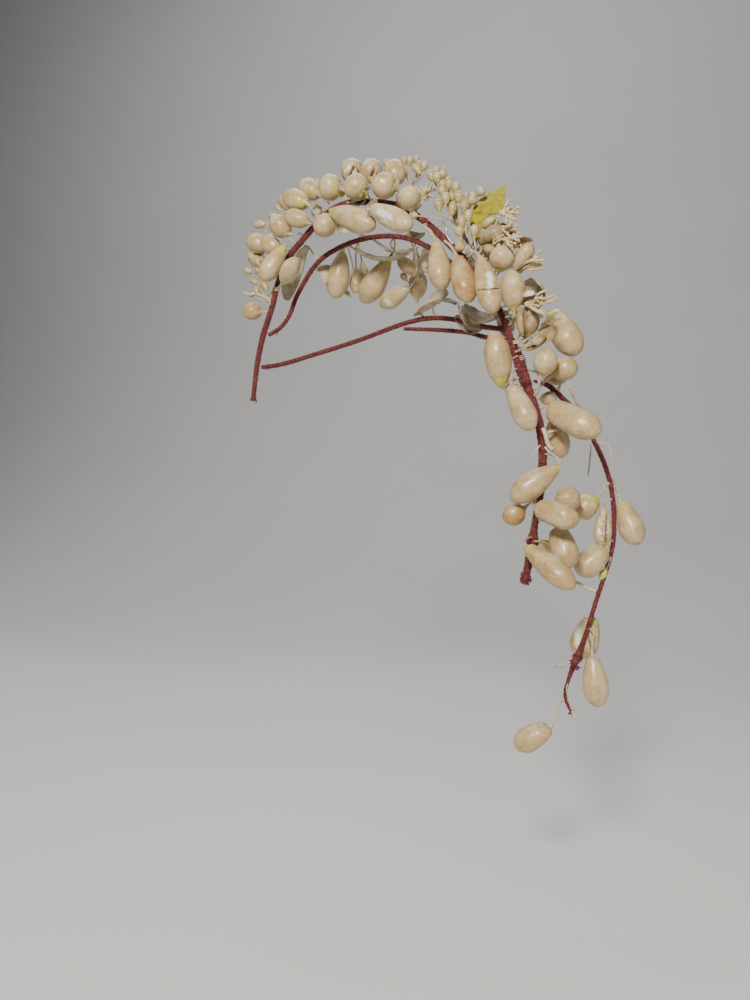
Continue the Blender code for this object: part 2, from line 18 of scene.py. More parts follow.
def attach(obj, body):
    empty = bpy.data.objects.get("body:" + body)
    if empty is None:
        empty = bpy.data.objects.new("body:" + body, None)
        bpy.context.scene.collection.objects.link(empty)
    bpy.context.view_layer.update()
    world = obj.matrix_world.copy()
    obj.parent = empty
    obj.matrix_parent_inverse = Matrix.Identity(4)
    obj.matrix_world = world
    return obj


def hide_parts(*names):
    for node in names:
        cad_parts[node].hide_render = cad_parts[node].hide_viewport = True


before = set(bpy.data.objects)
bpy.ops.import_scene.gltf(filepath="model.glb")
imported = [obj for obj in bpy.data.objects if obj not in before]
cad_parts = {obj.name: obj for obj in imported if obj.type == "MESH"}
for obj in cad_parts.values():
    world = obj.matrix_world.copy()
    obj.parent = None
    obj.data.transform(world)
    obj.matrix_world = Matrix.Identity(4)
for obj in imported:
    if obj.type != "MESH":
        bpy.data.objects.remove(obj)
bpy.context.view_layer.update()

MM = 0.001
print("loaded", len(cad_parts), "nodes")

# %% [markdown]
# The camera comes first, because the photograph is also the ruler. A place on the object can be
# named by its pixel there and by how far it lies behind the arch, in millimetres. From the eye, the
# pixel gives a line of sight, and the distance picks one point on it.

# %% Camera and lines of sight
EYE = np.array([0.183, -0.337, -0.111])
LOOK_TURN = math.radians(28.8)
LOOK_UP = math.radians(2.9)
FOCAL_PIXELS = 780
PHOTO_WIDTH = 750
PHOTO_HEIGHT = 1000
FILM_HEIGHT_MM = 36.0
AHEAD = np.array([-math.sin(LOOK_TURN) * math.cos(LOOK_UP),
                  math.cos(LOOK_TURN) * math.cos(LOOK_UP), math.sin(LOOK_UP)])
RIGHT = np.array([math.cos(LOOK_TURN), math.sin(LOOK_TURN), 0.0])
UPWARD = np.cross(RIGHT, AHEAD)


def sighted(photo_x, photo_y, behind):
    """The point seen at this pixel, this many millimetres behind the arch."""
    ray = (AHEAD + RIGHT * (photo_x - PHOTO_WIDTH / 2) / FOCAL_PIXELS
           + UPWARD * (PHOTO_HEIGHT / 2 - photo_y) / FOCAL_PIXELS)
    return EYE + ray * (behind * MM - EYE[1]) / ray[1]


def in_photo(points):
    """The pixel at which each point is seen."""
    away = np.asarray(points) - EYE
    depth = away @ AHEAD
    return np.stack([PHOTO_WIDTH / 2 + FOCAL_PIXELS * (away @ RIGHT) / depth,
                     PHOTO_HEIGHT / 2 - FOCAL_PIXELS * (away @ UPWARD) / depth], axis=1)


def add_camera():
    """The photograph's view."""
    lens = bpy.data.cameras.new("portrait_camera")
    lens.sensor_fit = "VERTICAL"
    lens.sensor_height = FILM_HEIGHT_MM
    lens.lens = FILM_HEIGHT_MM * FOCAL_PIXELS / PHOTO_HEIGHT
    lens.clip_start = 0.01
    camera = bpy.data.objects.new("portrait_camera", lens)
    bpy.context.scene.collection.objects.link(camera)
    turn = np.eye(4)
    turn[:3, 0], turn[:3, 1], turn[:3, 2], turn[:3, 3] = RIGHT, UPWARD, -AHEAD, EYE
    camera.matrix_world = Matrix(turn)
    bpy.context.scene.camera = camera


add_camera()
print("camera lens in mm:", round(bpy.context.scene.camera.data.lens, 2))

# %% [markdown]
# Materials and Geometry Nodes are both trees of nodes. One helper adds a node, sets its inputs by
# name and joins it to the outputs it is given, so a whole tree reads as a short list.

# %% Helpers for node trees


def add_node(tree, kind, inputs=None, **settings):
    """A new node, with each named input set to a value or joined to another node's output."""
    node = tree.nodes.new(kind)
    for key, value in settings.items():
        setattr(node, key, value)
    for key, value in (inputs or {}).items():
        usable = [socket for socket in node.inputs if socket.enabled]
        socket = usable[key] if isinstance(key, int) else next(s for s in usable if s.name == key)
        if isinstance(value, bpy.types.Node):
            value = result(value)
        if isinstance(value, bpy.types.NodeSocket):
            tree.links.new(value, socket)
        else:
            socket.default_value = value
    return node


def result(node, name=None):
    """A node's first output in use, or the one of that name."""
    return next(s for s in node.outputs if s.enabled and name in (None, s.name))


def calculate(tree, operation, *values):
    """A Math node on one to three values or outputs."""
    return add_node(tree, "ShaderNodeMath", dict(enumerate(values)), operation=operation)


print("made the tools", [tool.__name__ for tool in (add_node, result, calculate)])

# %% Helpers for colour and relief


def tint(red, green, blue):
    """A colour given as a screen shows it, from 0 to 255, as Blender's linear one."""
    shares = [value / 255 for value in (red, green, blue)]
    return [s / 12.92 if s <= 0.04045 else ((s + 0.055) / 1.055) ** 2.4 for s in shares] + [1.0]


def blended(tree, factor, first, second):
    """The first colour turning into the second as the factor goes from 0 to 1."""
    return result(add_node(tree, "ShaderNodeMix", {"Factor": factor, "A": first, "B": second},
                           data_type="RGBA"), "Result")


def attribute(tree, name):
    """A value stored on the mesh."""
    return result(add_node(tree, "ShaderNodeAttribute", attribute_name=name), "Fac")


def grain(tree, scale, detail=3.0, roughness=0.55):
    """Noise in the object's own space, in cells per metre."""
    place = result(add_node(tree, "ShaderNodeTexCoord"), "Object")
    return result(add_node(tree, "ShaderNodeTexNoise", {
        "Vector": place, "Scale": scale, "Detail": detail, "Roughness": roughness}), "Fac")


def sharpened(tree, value, low, high):
    """0 below low, 1 above high and a straight slope between."""
    return add_node(tree, "ShaderNodeMapRange", {"Value": value, "From Min": low, "From Max": high})


def finish_material(name):
    """A new material's tree and its shader."""
    material = bpy.data.materials.new(name)
    material.use_nodes = True
    tree = material.node_tree
    return material, tree, tree.nodes["Principled BSDF"]


def set_inputs(shader, values):
    """Sets the shader's own sockets by name."""
    for key, value in values.items():
        shader.inputs[key].default_value = value


def raise_surface(tree, shader, height, strength, distance):
    """Bump from a height."""
    bump = add_node(tree, "ShaderNodeBump", {"Height": height, "Strength": strength,
                                             "Distance": distance})
    tree.links.new(result(bump), shader.inputs["Normal"])


print("a mid grey is", round(tint(128, 128, 128)[0], 3), "in linear light")

# %% [markdown]
# The wax was cast or dipped over cotton and then aged from white to a warm beige. It is a little
# see-through, with a soft gloss that dust has dulled in patches. The mesh says where the paint of a
# calyx, the paper of a stem, a crack or a chip lies, as numbers from 0 to 1, and noise breaks the
# edges of each so that they look brushed on by hand. The dark of a crack is painted shade in the
# split, and the same mark lays a faint dark ring of dirt round each calyx.

# %% Wax material
SUBSURFACE_RADIUS = (1.0, 0.6, 0.35)      # red light goes furthest into wax


def make_wax():
    """Clouded wax with painted, papered and chipped places, and painted shade in its cracks."""
    material, tree, shader = finish_material("painted_wax")
    cloud = sharpened(tree, grain(tree, 170, 3), 0.36, 0.66)
    fleck = sharpened(tree, grain(tree, 1000, 4, 0.65), 0.5, 0.7)
    colour = blended(tree, cloud, tint(197, 178, 137), tint(166, 142, 95))
    colour = blended(tree, calculate(tree, "MULTIPLY", attribute(tree, "tone"), 0.95),
                     colour, tint(160, 122, 66))
    colour = blended(tree, calculate(tree, "MULTIPLY", fleck, 0.4), colour, tint(220, 207, 176))
    grime = sharpened(tree, grain(tree, 640, 5, 0.7), 0.58, 0.78)
    colour = blended(tree, calculate(tree, "MULTIPLY", grime, 0.55), colour, tint(146, 116, 76))
    ragged = calculate(tree, "MULTIPLY_ADD", grain(tree, 700, 4), 0.9, -0.45)
    painted = sharpened(tree, calculate(tree, "ADD", attribute(tree, "cap"), ragged), 0.42, 0.62)
    paint = blended(tree, attribute(tree, "lime"), tint(180, 170, 30), tint(124, 178, 34))
    paint = blended(tree, sharpened(tree, grain(tree, 1500, 2), 0.45, 0.65), paint, tint(208, 200, 130))
    colour = blended(tree, calculate(tree, "MULTIPLY", painted, 0.85), colour, paint)
    paper = blended(tree, sharpened(tree, grain(tree, 1300, 4), 0.35, 0.7),
                    tint(140, 120, 86), tint(206, 192, 160))
    colour = blended(tree, attribute(tree, "stem"), colour, paper)
    chipped = sharpened(tree, calculate(tree, "ADD", attribute(tree, "chip"), ragged), 0.3, 0.6)
    colour = blended(tree, calculate(tree, "MULTIPLY", chipped, 0.85), colour, tint(230, 226, 216))
    # painted shade in each crack, and a faint dark ring of dirt at the calyx
    crack_shade_and_dirt = sharpened(tree, attribute(tree, "crack"), 0.25, 0.75)
    colour = blended(tree, crack_shade_and_dirt, colour, tint(66, 46, 28))
    tree.links.new(colour, shader.inputs["Base Color"])
    dull = calculate(tree, "MULTIPLY_ADD", attribute(tree, "stem"), 0.4, 0.3)
    worn = calculate(tree, "MULTIPLY_ADD", fleck, 0.22, dull)
    tree.links.new(result(worn), shader.inputs["Roughness"])
    set_inputs(shader, {"Subsurface Weight": 0.12, "Subsurface Radius": SUBSURFACE_RADIUS,
                        "Subsurface Scale": 0.003, "Coat Weight": 0.3, "Coat Roughness": 0.2,
                        "IOR": 1.44})
    relief = calculate(tree, "MULTIPLY_ADD", grain(tree, 420, 3), 0.7, grain(tree, 2200, 3))
    raise_surface(tree, shader, relief, 0.45, 0.0003)
    return material


WAX = make_wax()
print("made", WAX.name)

# %% [markdown]
# A wire is bound in a strip of dyed tissue paper, wound on at a slant. The red has faded unevenly to
# pink where fingers wore it, and its pale flecks are also painted glints of the fibrous paper. The
# strip's edge shows as a small step at each turn. The mesh stores how near each point is to that edge.

# %% Crimson paper material


def make_crimson():
    """Dyed tissue with pale pink flecks, part wear and part painted glint, dark at a strip's edge."""
    material, tree, shader = finish_material("crimson_paper")
    mottle = sharpened(tree, grain(tree, 420, 4, 0.65), 0.36, 0.68)
    colour = blended(tree, mottle, tint(58, 8, 12), tint(98, 20, 24))
    # pale flecks: pink wear where fingers touched it, and painted glints of the paper's fibres
    rubbed_and_glint = sharpened(tree, grain(tree, 1700, 5, 0.7), 0.55, 0.66)
    colour = blended(tree, calculate(tree, "MULTIPLY", rubbed_and_glint, 0.6), colour, tint(196, 124, 106))
    edge = calculate(tree, "MULTIPLY", attribute(tree, "edge"), 0.55)
    colour = blended(tree, edge, colour, tint(70, 16, 22))
    tree.links.new(colour, shader.inputs["Base Color"])
    set_inputs(shader, {"Roughness": 0.85, "Sheen Weight": 0.25, "Sheen Roughness": 0.5,
                        "Sheen Tint": tint(220, 130, 120)})
    raise_surface(tree, shader, grain(tree, 2600, 5, 0.7), 0.6, 0.0003)
    return material


CRIMSON = make_crimson()
print("made", CRIMSON.name)

# %% [markdown]
# The dry parts are all matte and differ only in colour and grain: the paper of stems and stubs, the
# straw of the stamens, the thin wax of petals, and the leaves. So one recipe serves them all. It
# wanders between two colours, sprinkles specks of a third and darkens the torn edge that a mesh
# marks. The bare binding wire is metal where it's bright, and less so where rust has spotted it.

# %% Pale paper, straw, petals, leaves and bare wire


def make_plain(name, dark, light, scale, roughness, bump, speck=None, subsurface=0.0):
    """A matte finish that wanders between two colours, darker at a torn edge."""
    material, tree, shader = finish_material(name)
    colour = blended(tree, sharpened(tree, grain(tree, scale, 4, 0.6), 0.34, 0.68), dark, light)
    if speck:
        spots = sharpened(tree, grain(tree, scale * 4, 4, 0.7), 0.6, 0.72)
        colour = blended(tree, calculate(tree, "MULTIPLY", spots, 0.7), colour, speck)
    colour = blended(tree, attribute(tree, "edge"), colour, tint(112, 88, 58))
    colour = blended(tree, attribute(tree, "lime"), colour, tint(166, 190, 84))
    colour = blended(tree, attribute(tree, "chip"), colour, tint(228, 226, 218))
    tree.links.new(colour, shader.inputs["Base Color"])
    set_inputs(shader, {"Roughness": roughness, "Subsurface Weight": subsurface,
                        "Subsurface Radius": SUBSURFACE_RADIUS, "Subsurface Scale": 0.002})
    raise_surface(tree, shader, grain(tree, scale * 5, 4, 0.65), bump, 0.0003)
    return material


PALE_PAPER = make_plain("pale_paper", tint(160, 146, 118), tint(212, 202, 178), 900, 0.8, 0.6,
                        tint(226, 220, 204))
STRAW = make_plain("stamen_straw", tint(180, 152, 102), tint(222, 204, 164), 700, 0.7, 0.5,
                   tint(232, 220, 190))
PETAL_WAX = make_plain("petal_wax", tint(122, 98, 62), tint(172, 149, 106), 300, 0.5, 0.5,
                       tint(196, 178, 142), subsurface=0.05)
INNER_LEAF = make_plain("inner_leaf_paper", tint(158, 144, 112), tint(204, 192, 162), 240, 0.75, 0.5,
                        tint(216, 206, 182))
LEAF_PAPER = make_plain("leaf_paper", tint(124, 112, 10), tint(166, 156, 12), 330, 0.8, 0.6,
                        tint(150, 130, 58))


def make_bare_wire():
    """Silvery wire, spotted with rust."""
    material, tree, shader = finish_material("bare_wire")
    rust = sharpened(tree, grain(tree, 1100, 4, 0.6), 0.5, 0.7)
    colour = blended(tree, rust, tint(190, 186, 180), tint(150, 132, 108))
    tree.links.new(colour, shader.inputs["Base Color"])
    tree.links.new(result(calculate(tree, "MULTIPLY_ADD", rust, -0.6, 0.8)), shader.inputs["Metallic"])
    shader.inputs["Roughness"].default_value = 0.42
    raise_surface(tree, shader, grain(tree, 3000, 3), 0.5, 0.0002)
    return material


CRIMSON_FIBRE = make_plain("crimson_fibre", tint(122, 34, 38), tint(214, 152, 134), 500, 0.9, 0.2)
BARE_WIRE = make_bare_wire()
print("made", len(bpy.data.materials), "materials")

# %% [markdown]
# A bud, a stem and a wire are all sweeps: a round section carried along a line. The model's own
# solids are coarse sweeps, so their rings can be read back: start from one flat end, and each next
# ring is what the last one's edges lead to. Those rings are the line and the girth that every finer
# piece follows, so it stays where its solid is.

# %% Reading a sweep back from its solid
LEVEL = 0.99999        # two faces lie in one plane when their normals agree this well
ROUND_ENOUGH = 1.05    # an end's corners lie this evenly round its middle


def flat_groups(solid):
    """The sets of neighbouring faces that lie in one plane."""
    seen = set()
    for face in solid.faces:
        if face.index in seen:
            continue
        group, waiting = {face.index}, [face]
        while waiting:
            here = waiting.pop()
            for edge in here.edges:
                for other in edge.link_faces:
                    if other.index not in group and other.normal.dot(face.normal) > LEVEL:
                        group.add(other.index)
                        waiting.append(other)
        seen |= group
        yield group


def is_round(spots):
    """Whether points lie evenly round their middle."""
    reach = np.linalg.norm(spots - spots.mean(axis=0), axis=1)
    return reach.max() < ROUND_ENOUGH * reach.min()


def ring_rows(name):
    """A swept solid's rings from one end to the other, as rows of x, y, z and radius."""
    solid = bmesh.new()
    solid.from_mesh(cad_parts[name].data)
    bmesh.ops.remove_doubles(solid, verts=solid.verts, dist=1e-6)
    solid.verts.ensure_lookup_table()
    solid.faces.ensure_lookup_table()
    places = np.array([vertex.co[:] for vertex in solid.verts])
    for group in flat_groups(solid):
        ring = {vertex.index for index in group for vertex in solid.faces[index].verts}
        if len(group) == len(ring) - 2 and len(ring) >= 6 and is_round(places[list(ring)]):
            break
    rows, used = [], set(ring)
    while ring:
        spots = places[list(ring)]
        centre = spots.mean(axis=0)
        rows.append([*centre, np.linalg.norm(spots - centre, axis=1).mean()])
        ring = {edge.other_vert(solid.verts[index]).index
                for index in ring for edge in solid.verts[index].link_edges} - used
        used |= ring
    solid.free()
    return np.array(rows)


WIRE_NAMES = ["arch_wire", "inner_wire", "near_stem", "back_wire_upper", "back_wire_lower",
              "trail_wire"]
WIRES = {name: ring_rows(name) for name in WIRE_NAMES}
BUDS = {name: ring_rows(name) for name in sorted(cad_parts) if name.startswith("bud_")}
print("read back", len(WIRES), "wires and", len(BUDS), "buds")

# %% Where the near stem is bound to the arch
# The arch wire thins where it's bound to the near stem, at its right end. The stem's first rings are
# set close against it: each ring's radius and its step to the photograph's right, in mm.
BOUND_RINGS, BOUND_GIRTH = 9, 0.5
STEM_GIRTHS = [0.5, 0.9, 1.1, 1.7, 2.05, 2.15, 2.15, 2.1, 2.07]
STEM_STEPS = [-1.4, -1.9, -2.7, -1.8, -1.7, -1.6, -1.0, -0.5, -0.2]
if WIRES["arch_wire"][0, 0] > WIRES["arch_wire"][-1, 0]:
    WIRES["arch_wire"] = WIRES["arch_wire"][::-1].copy()
WIRES["arch_wire"][-BOUND_RINGS:, 3] *= np.linspace(1, BOUND_GIRTH, BOUND_RINGS)
if WIRES["near_stem"][0, 2] < WIRES["near_stem"][-1, 2]:
    WIRES["near_stem"] = WIRES["near_stem"][::-1].copy()
WIRES["near_stem"][:len(STEM_GIRTHS), 3] = np.array(STEM_GIRTHS) * MM
WIRES["near_stem"][:len(STEM_STEPS), :3] += np.outer(STEM_STEPS, RIGHT) * MM
print("near stem's heights and radii in mm:",
      (WIRES["near_stem"][:len(STEM_GIRTHS), 2:] / MM).round(1).tolist())

# %% [markdown]
# Three small tools do the sweeping. One draws a smooth curve through rows of numbers and spaces it
# evenly, one carries a pair of side directions along it without twist, and one lays the rings and
# closes both ends on a single point.

# %% Sweeping


def smooth_rows(rows, step):
    """Rows on a smooth curve through the given ones, a step apart along their first three columns."""
    rows = np.asarray(rows, dtype=float)
    padded = np.vstack([2 * rows[0] - rows[1], rows, 2 * rows[-1] - rows[-2]])
    t = np.linspace(0, 1, 24, endpoint=False)[:, None]
    spans = [0.5 * (2 * b + (c - a) * t + (2 * a - 5 * b + 4 * c - d) * t ** 2
                    + (3 * b - a - 3 * c + d) * t ** 3)
             for a, b, c, d in zip(padded, padded[1:], padded[2:], padded[3:])]
    dense = np.vstack([*spans, rows[-1:]])
    run = np.concatenate([[0.0], np.cumsum(np.linalg.norm(np.diff(dense[:, :3], axis=0), axis=1))])
    evenly = np.linspace(0, run[-1], max(3, int(round(run[-1] / step)) + 1))
    return np.stack([np.interp(evenly, run, column) for column in dense.T], axis=1)


def unit(vector):
    """Vectors of the same direction, one long."""
    return vector / np.linalg.norm(vector, axis=-1, keepdims=True)


def side_frames(centres):
    """Two directions square to the line at each of its points, without twist."""
    tangents = unit(np.gradient(centres, axis=0))
    side = unit(np.cross(tangents[0], [0.31, 0.17, 0.94]))
    sides = []
    for tangent in tangents:
        side = unit(side - tangent * (side @ tangent))
        sides.append(side)
    sides = np.array(sides)
    return tangents, sides, np.cross(tangents, sides)


def ring_faces(rings, around):
    """The faces of a sweep of rings with a point at each end."""
    first, last = rings * around, rings * around + 1
    turn = [(i, (i + 1) % around) for i in range(around)]
    faces = [(first, b, a) for a, b in turn]
    for ring in range(rings - 1):
        start = ring * around
        faces += [(start + a, start + b, start + around + b, start + around + a) for a, b in turn]
    start = (rings - 1) * around
    return faces + [(start + a, start + b, last) for a, b in turn]


def sweep(rows, around, shape=None):
    """Points, faces and the row of each point. shape changes the radii, given rows and angles."""
    rows = np.asarray(rows)
    tangents, sides, lifts = side_frames(rows[:, :3])
    angles = np.linspace(0, 2 * math.pi, around, endpoint=False)
    radii = np.repeat(rows[:, 3:4], around, axis=1)
    if shape:
        radii = shape(radii, angles)
    points = (rows[:, None, :3] + radii[..., None] * (np.cos(angles)[None, :, None] * sides[:, None]
                                                      + np.sin(angles)[None, :, None] * lifts[:, None]))
    points = np.vstack([points.reshape(-1, 3), rows[0, :3], rows[-1, :3]])
    owner = np.concatenate([np.repeat(np.arange(len(rows)), around), [0, len(rows) - 1]])
    return points, ring_faces(len(rows), around), owner


print("a sweep of 3 rings of 8 has", len(ring_faces(3, 8)), "faces")

# %% [markdown]
# Every piece ends in the same way: a mesh whose faces point outwards, with its marks stored on its
# points and its finish on it, and an object at the origin that rides the frame's one body and hides
# the plain solids it stands for. Noise, and a soft step from 0 to 1, are the two tools that keep
# handmade shapes from looking machined.

# %% A finished piece


def finish_piece(name, mesh, replaced=()):
    """An object on the frame's one body, standing for the named solids."""
    piece = bpy.data.objects.new(name, mesh)
    bpy.context.scene.collection.objects.link(piece)
    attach(piece, "root")
    if replaced:
        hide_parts(*replaced)
    return piece


def new_mesh(name, points, faces, material, marks):
    """A smooth mesh whose faces point outwards, with named numbers on its points."""
    mesh = bpy.data.meshes.new(name)
    mesh.from_pydata([tuple(point) for point in points], [], faces)
    for key, values in marks.items():
        stored = mesh.attributes.new(key, "FLOAT", "POINT")
        stored.data.foreach_set("value", np.asarray(values, dtype=np.float32))
    mesh.materials.append(material)
    shell = bmesh.new()
    shell.from_mesh(mesh)
    bmesh.ops.recalc_face_normals(shell, faces=shell.faces)
    shell.to_mesh(mesh)
    shell.free()
    mesh.shade_smooth()
    return mesh


def piece_of(part, name, material, replaced=()):
    """A finished piece from its points, faces and marks."""
    return finish_piece(name, new_mesh(name, *part[:2], material, part[2]), replaced)


def merged(parts):
    """Several (points, faces, marks) as one."""
    points, faces, marks, start = [], [], {}, 0
    keys = sorted({key for part in parts for key in part[2]})
    for spots, sides, given in parts:
        points.append(spots)
        faces += [tuple(index + start for index in side) for side in sides]
        for key in keys:
            marks.setdefault(key, []).append(np.asarray(given.get(key, np.zeros(len(spots)))))
        start += len(spots)
    return np.vstack(points), faces, {key: np.concatenate(values) for key, values in marks.items()}


def rough(points, per_metre, seed):
    """Noise from -1 to 1 at each point."""
    return np.array([noise.noise(Vector(point) * per_metre + Vector((seed, 0.37 * seed, -seed)))
                     for point in points])


def ease(value, low, high):
    """0 below low, 1 above high, with soft ends."""
    share = np.clip((value - low) / (high - low), 0, 1)
    return share * share * (3 - 2 * share)


print("the soft step a quarter of the way up is", ease(0.25, 0, 1))

# %% [markdown]
# Stems end on the side of a wire. Which place on the wire that is comes from the photograph: the
# point of the wire's own line that passes nearest to a pixel's line of sight.

# %% Places on a wire
NEAR = 1e-9        # keeps a direction from having no length
SUNK = 0.8         # how far out a stem's end sits, as a share of its wire's radius


def on_wire(wire, photo_x, photo_y):
    """The wire's point, direction and radius where it passes nearest to a pixel's line of sight."""
    rows = smooth_rows(WIRES[wire], MM)
    line = unit(sighted(photo_x, photo_y, 0) - EYE)
    away = np.linalg.norm(np.cross(rows[:, :3] - EYE, line), axis=1)
    nearest = int(np.clip(np.argmin(away), 1, len(rows) - 2))
    return rows[nearest, :3], unit(rows[nearest + 1, :3] - rows[nearest - 1, :3]), rows[nearest, 3]


def nearest_on_wires(point):
    """The place on the side of any wire that lies nearest to a point."""
    spots = np.vstack([smooth_rows(rows, MM) for rows in WIRES.values()])
    away = np.linalg.norm(spots[:, :3] - point, axis=1) - spots[:, 3]
    spot = spots[np.argmin(away)]
    return spot[:3] + unit(point - spot[:3] + NEAR) * spot[3] * SUNK


def bound_to(start, wire, tie):
    """Where a stem from start meets the side of its wire."""
    point, direction, radius = on_wire(wire, *tie)
    out = start - point
    out = out - direction * (out @ direction)
    return point + unit(out + NEAR) * radius


print("pixel 415, 213 of the arch wire in mm:", (on_wire("arch_wire", 415, 213)[0] / MM).round(1))

# %% [markdown]
# Each bud is one sweep from its free end to the wire: a rounded tip, the body, the calyx where the
# wax gathers into small pleats, and the paper stem. Hand-dipped buds are never round, so the section
# is a little oval and lumpy, from a seed of its own. The body's number "along" runs from 0 at the
# free end to 1 at the calyx.

# %% Bud settings
BODY_RINGS = 6              # how many of a bud solid's rings are wax, and the rest stem
SOLID_TO_ROUND = 0.985      # a ten-sided solid is drawn slightly wide
BUD_AROUND = 48
BUD_STEP = 0.48 * MM
TIP_ROUND = 0.22            # how far the rounded tip goes past the first ring, in its radii
WIDEST = 0.35               # where a bud starts to narrow towards its calyx
CLOSING = 0.8               # how long the dome is that closes the calyx, in its own radii
SHOULDER = 2.0              # how long it stays full on the way, as a power

# How each bud differs: how far its paint reaches from the calyx as a share of its length, how strong
# the paint is, how tan its wax has turned, how blunt its calyx is as a share of its girth, and its
# stem's girth as a share of the solid's.
USUAL_LOOK = (0.12, 0.55, 0.2, 0.24, 0.75)
BUD_LOOKS = {
    "bud_left_drop": (0.2, 1.0, 0.15, 0.28, 0.6), "bud_left_oval": (0.1, 0.3, 0.1, 0.24, 0.7),
    "bud_left_low": (0.1, 0.3, 0.6, 0.2, 0.7), "bud_top_pale": (0.16, 0.9, 0.05, 0.24, 0.7),
    "bud_top_left": (0.14, 0.7, 0.1, 0.22, 0.7), "bud_top_capped": (0.2, 0.95, 0.05, 0.26, 0.7),
    "bud_front_round": (0.1, 0.3, 0.15, 0.2, 0.7), "bud_front_drop": (0.2, 1.0, 0.15, 0.26, 0.6),
    "bud_crown_split": (0.12, 0.5, 0.05, 0.2, 0.7), "bud_crown_right": (0.1, 0.5, 0.05, 0.2, 0.7),
    "bud_crown_large": (0.14, 0.8, 0.05, 0.22, 0.7), "bud_crown_frayed": (0.14, 0.7, 0.02, 0.26, 0.7),
    "bud_crown_end": (0.1, 0.3, 0.05, 0.22, 0.7), "bud_front_dented": (0.04, 0.1, 0.0, 0.5, 0.7),
    "bud_hang_first": (0.12, 0.8, 0.25, 0.3, 1.25), "bud_hang_second": (0.06, 0.2, 0.9, 0.38, 0.9),
    "bud_hang_cracked": (0.08, 0.3, 0.35, 0.3, 0.7), "bud_side_round": (0.16, 0.8, 0.15, 0.2, 0.7),
    "bud_side_oval": (0.12, 0.75, 0.15, 0.3, 1.1), "bud_side_large": (0.2, 0.9, 0.35, 0.55, 0.8),
    "bud_side_middle": (0.14, 0.6, 0.1, 0.2, 1.1), "bud_side_far": (0.1, 0.3, 0.1, 0.2, 0.8),
    "bud_front_tall": (0.12, 1.0, 0.5, 0.4, 0.8), "bud_stem_front": (0.05, 0.1, 0.1, 0.5, 0.8),
    "bud_side_low": (0.1, 0.8, 0.25, 0.66, 0.8), "bud_side_behind": (0.1, 0.3, 0.4, 0.4, 0.8),
    "bud_low_front": (0.1, 0.6, 0.35, 0.2, 0.55), "bud_low_round": (0.05, 0.0, 1.0, 0.2, 0.7),
    "bud_low_cross": (0.06, 0.1, 0.4, 0.66, 0.7), "bud_low_upright": (0.06, 0.1, 0.5, 0.22, 0.8),
    "bud_low_hanging": (0.08, 0.2, 0.3, 0.45, 0.8), "bud_low_last": (0.1, 0.8, 0.6, 0.4, 0.6),
    "bud_trail_yellow": (0.3, 1.0, 0.6, 0.5, 1.15), "bud_trail_outer": (0.14, 0.9, 0.2, 0.34, 0.7),
    "bud_trail_split": (0.12, 0.6, 0.2, 0.35, 0.7), "bud_trail_low": (0.07, 0.4, 0.15, 0.36, 0.5),
    "bud_trail_little": (0.8, 1.0, 0.2, 0.5, 0.7), "bud_trail_tip": (0.05, 0.2, 0.3, 0.5, 0.5),
    "bud_trail_wide": (0.08, 0.7, 0.35, 0.55, 0.7),
}
# Buds that are slimmer or shorter than their solids: shares of the girth and of the length.
AS_SOLID = (1.0, 1.0)
PROPORTIONS = {
    "bud_crown_end": (0.92, 0.9), "bud_crown_frayed": (0.93, 0.88), "bud_crown_large": (0.94, 0.93),
    "bud_crown_pierced": (1.0, 0.91), "bud_crown_right": (1.0, 0.91), "bud_crown_split": (1.0, 0.88),
    "bud_front_dented": (0.8, 0.92), "bud_front_drop": (0.87, 1.0), "bud_front_round": (1.0, 0.93),
    "bud_hang_first": (0.97, 0.9), "bud_hang_second": (1.0, 0.95), "bud_inside_left": (1.0, 0.93),
    "bud_left_drop": (0.88, 1.0), "bud_left_low": (0.88, 0.84), "bud_left_oval": (0.88, 0.92),
    "bud_left_round": (0.92, 0.92), "bud_left_upper": (0.88, 0.89), "bud_low_cross": (0.9, 0.94),
    "bud_low_front": (0.95, 1.0), "bud_low_last": (0.86, 1.0), "bud_low_round": (1.0, 0.9),
    "bud_side_middle": (0.86, 1.0), "bud_side_oval": (1.0, 0.95), "bud_top_capped": (1.0, 0.95),
    "bud_top_left": (0.92, 0.92), "bud_top_pale": (0.86, 0.88), "bud_trail_tip": (0.93, 0.94),
    "bud_trail_wide": (0.93, 1.0),
}
# Buds that sit a little aside from their solids: mm to the photograph's right, up and away.
ASIDE = {"bud_top_pale": (0.0, 0.0, -1.6), "bud_top_slim": (0.2, -0.7, 2.4),
         "bud_left_oval": (-0.4, -0.6, 0.6)}
print(len(BUD_LOOKS), "buds have looks and", len(PROPORTIONS), "have proportions of their own")
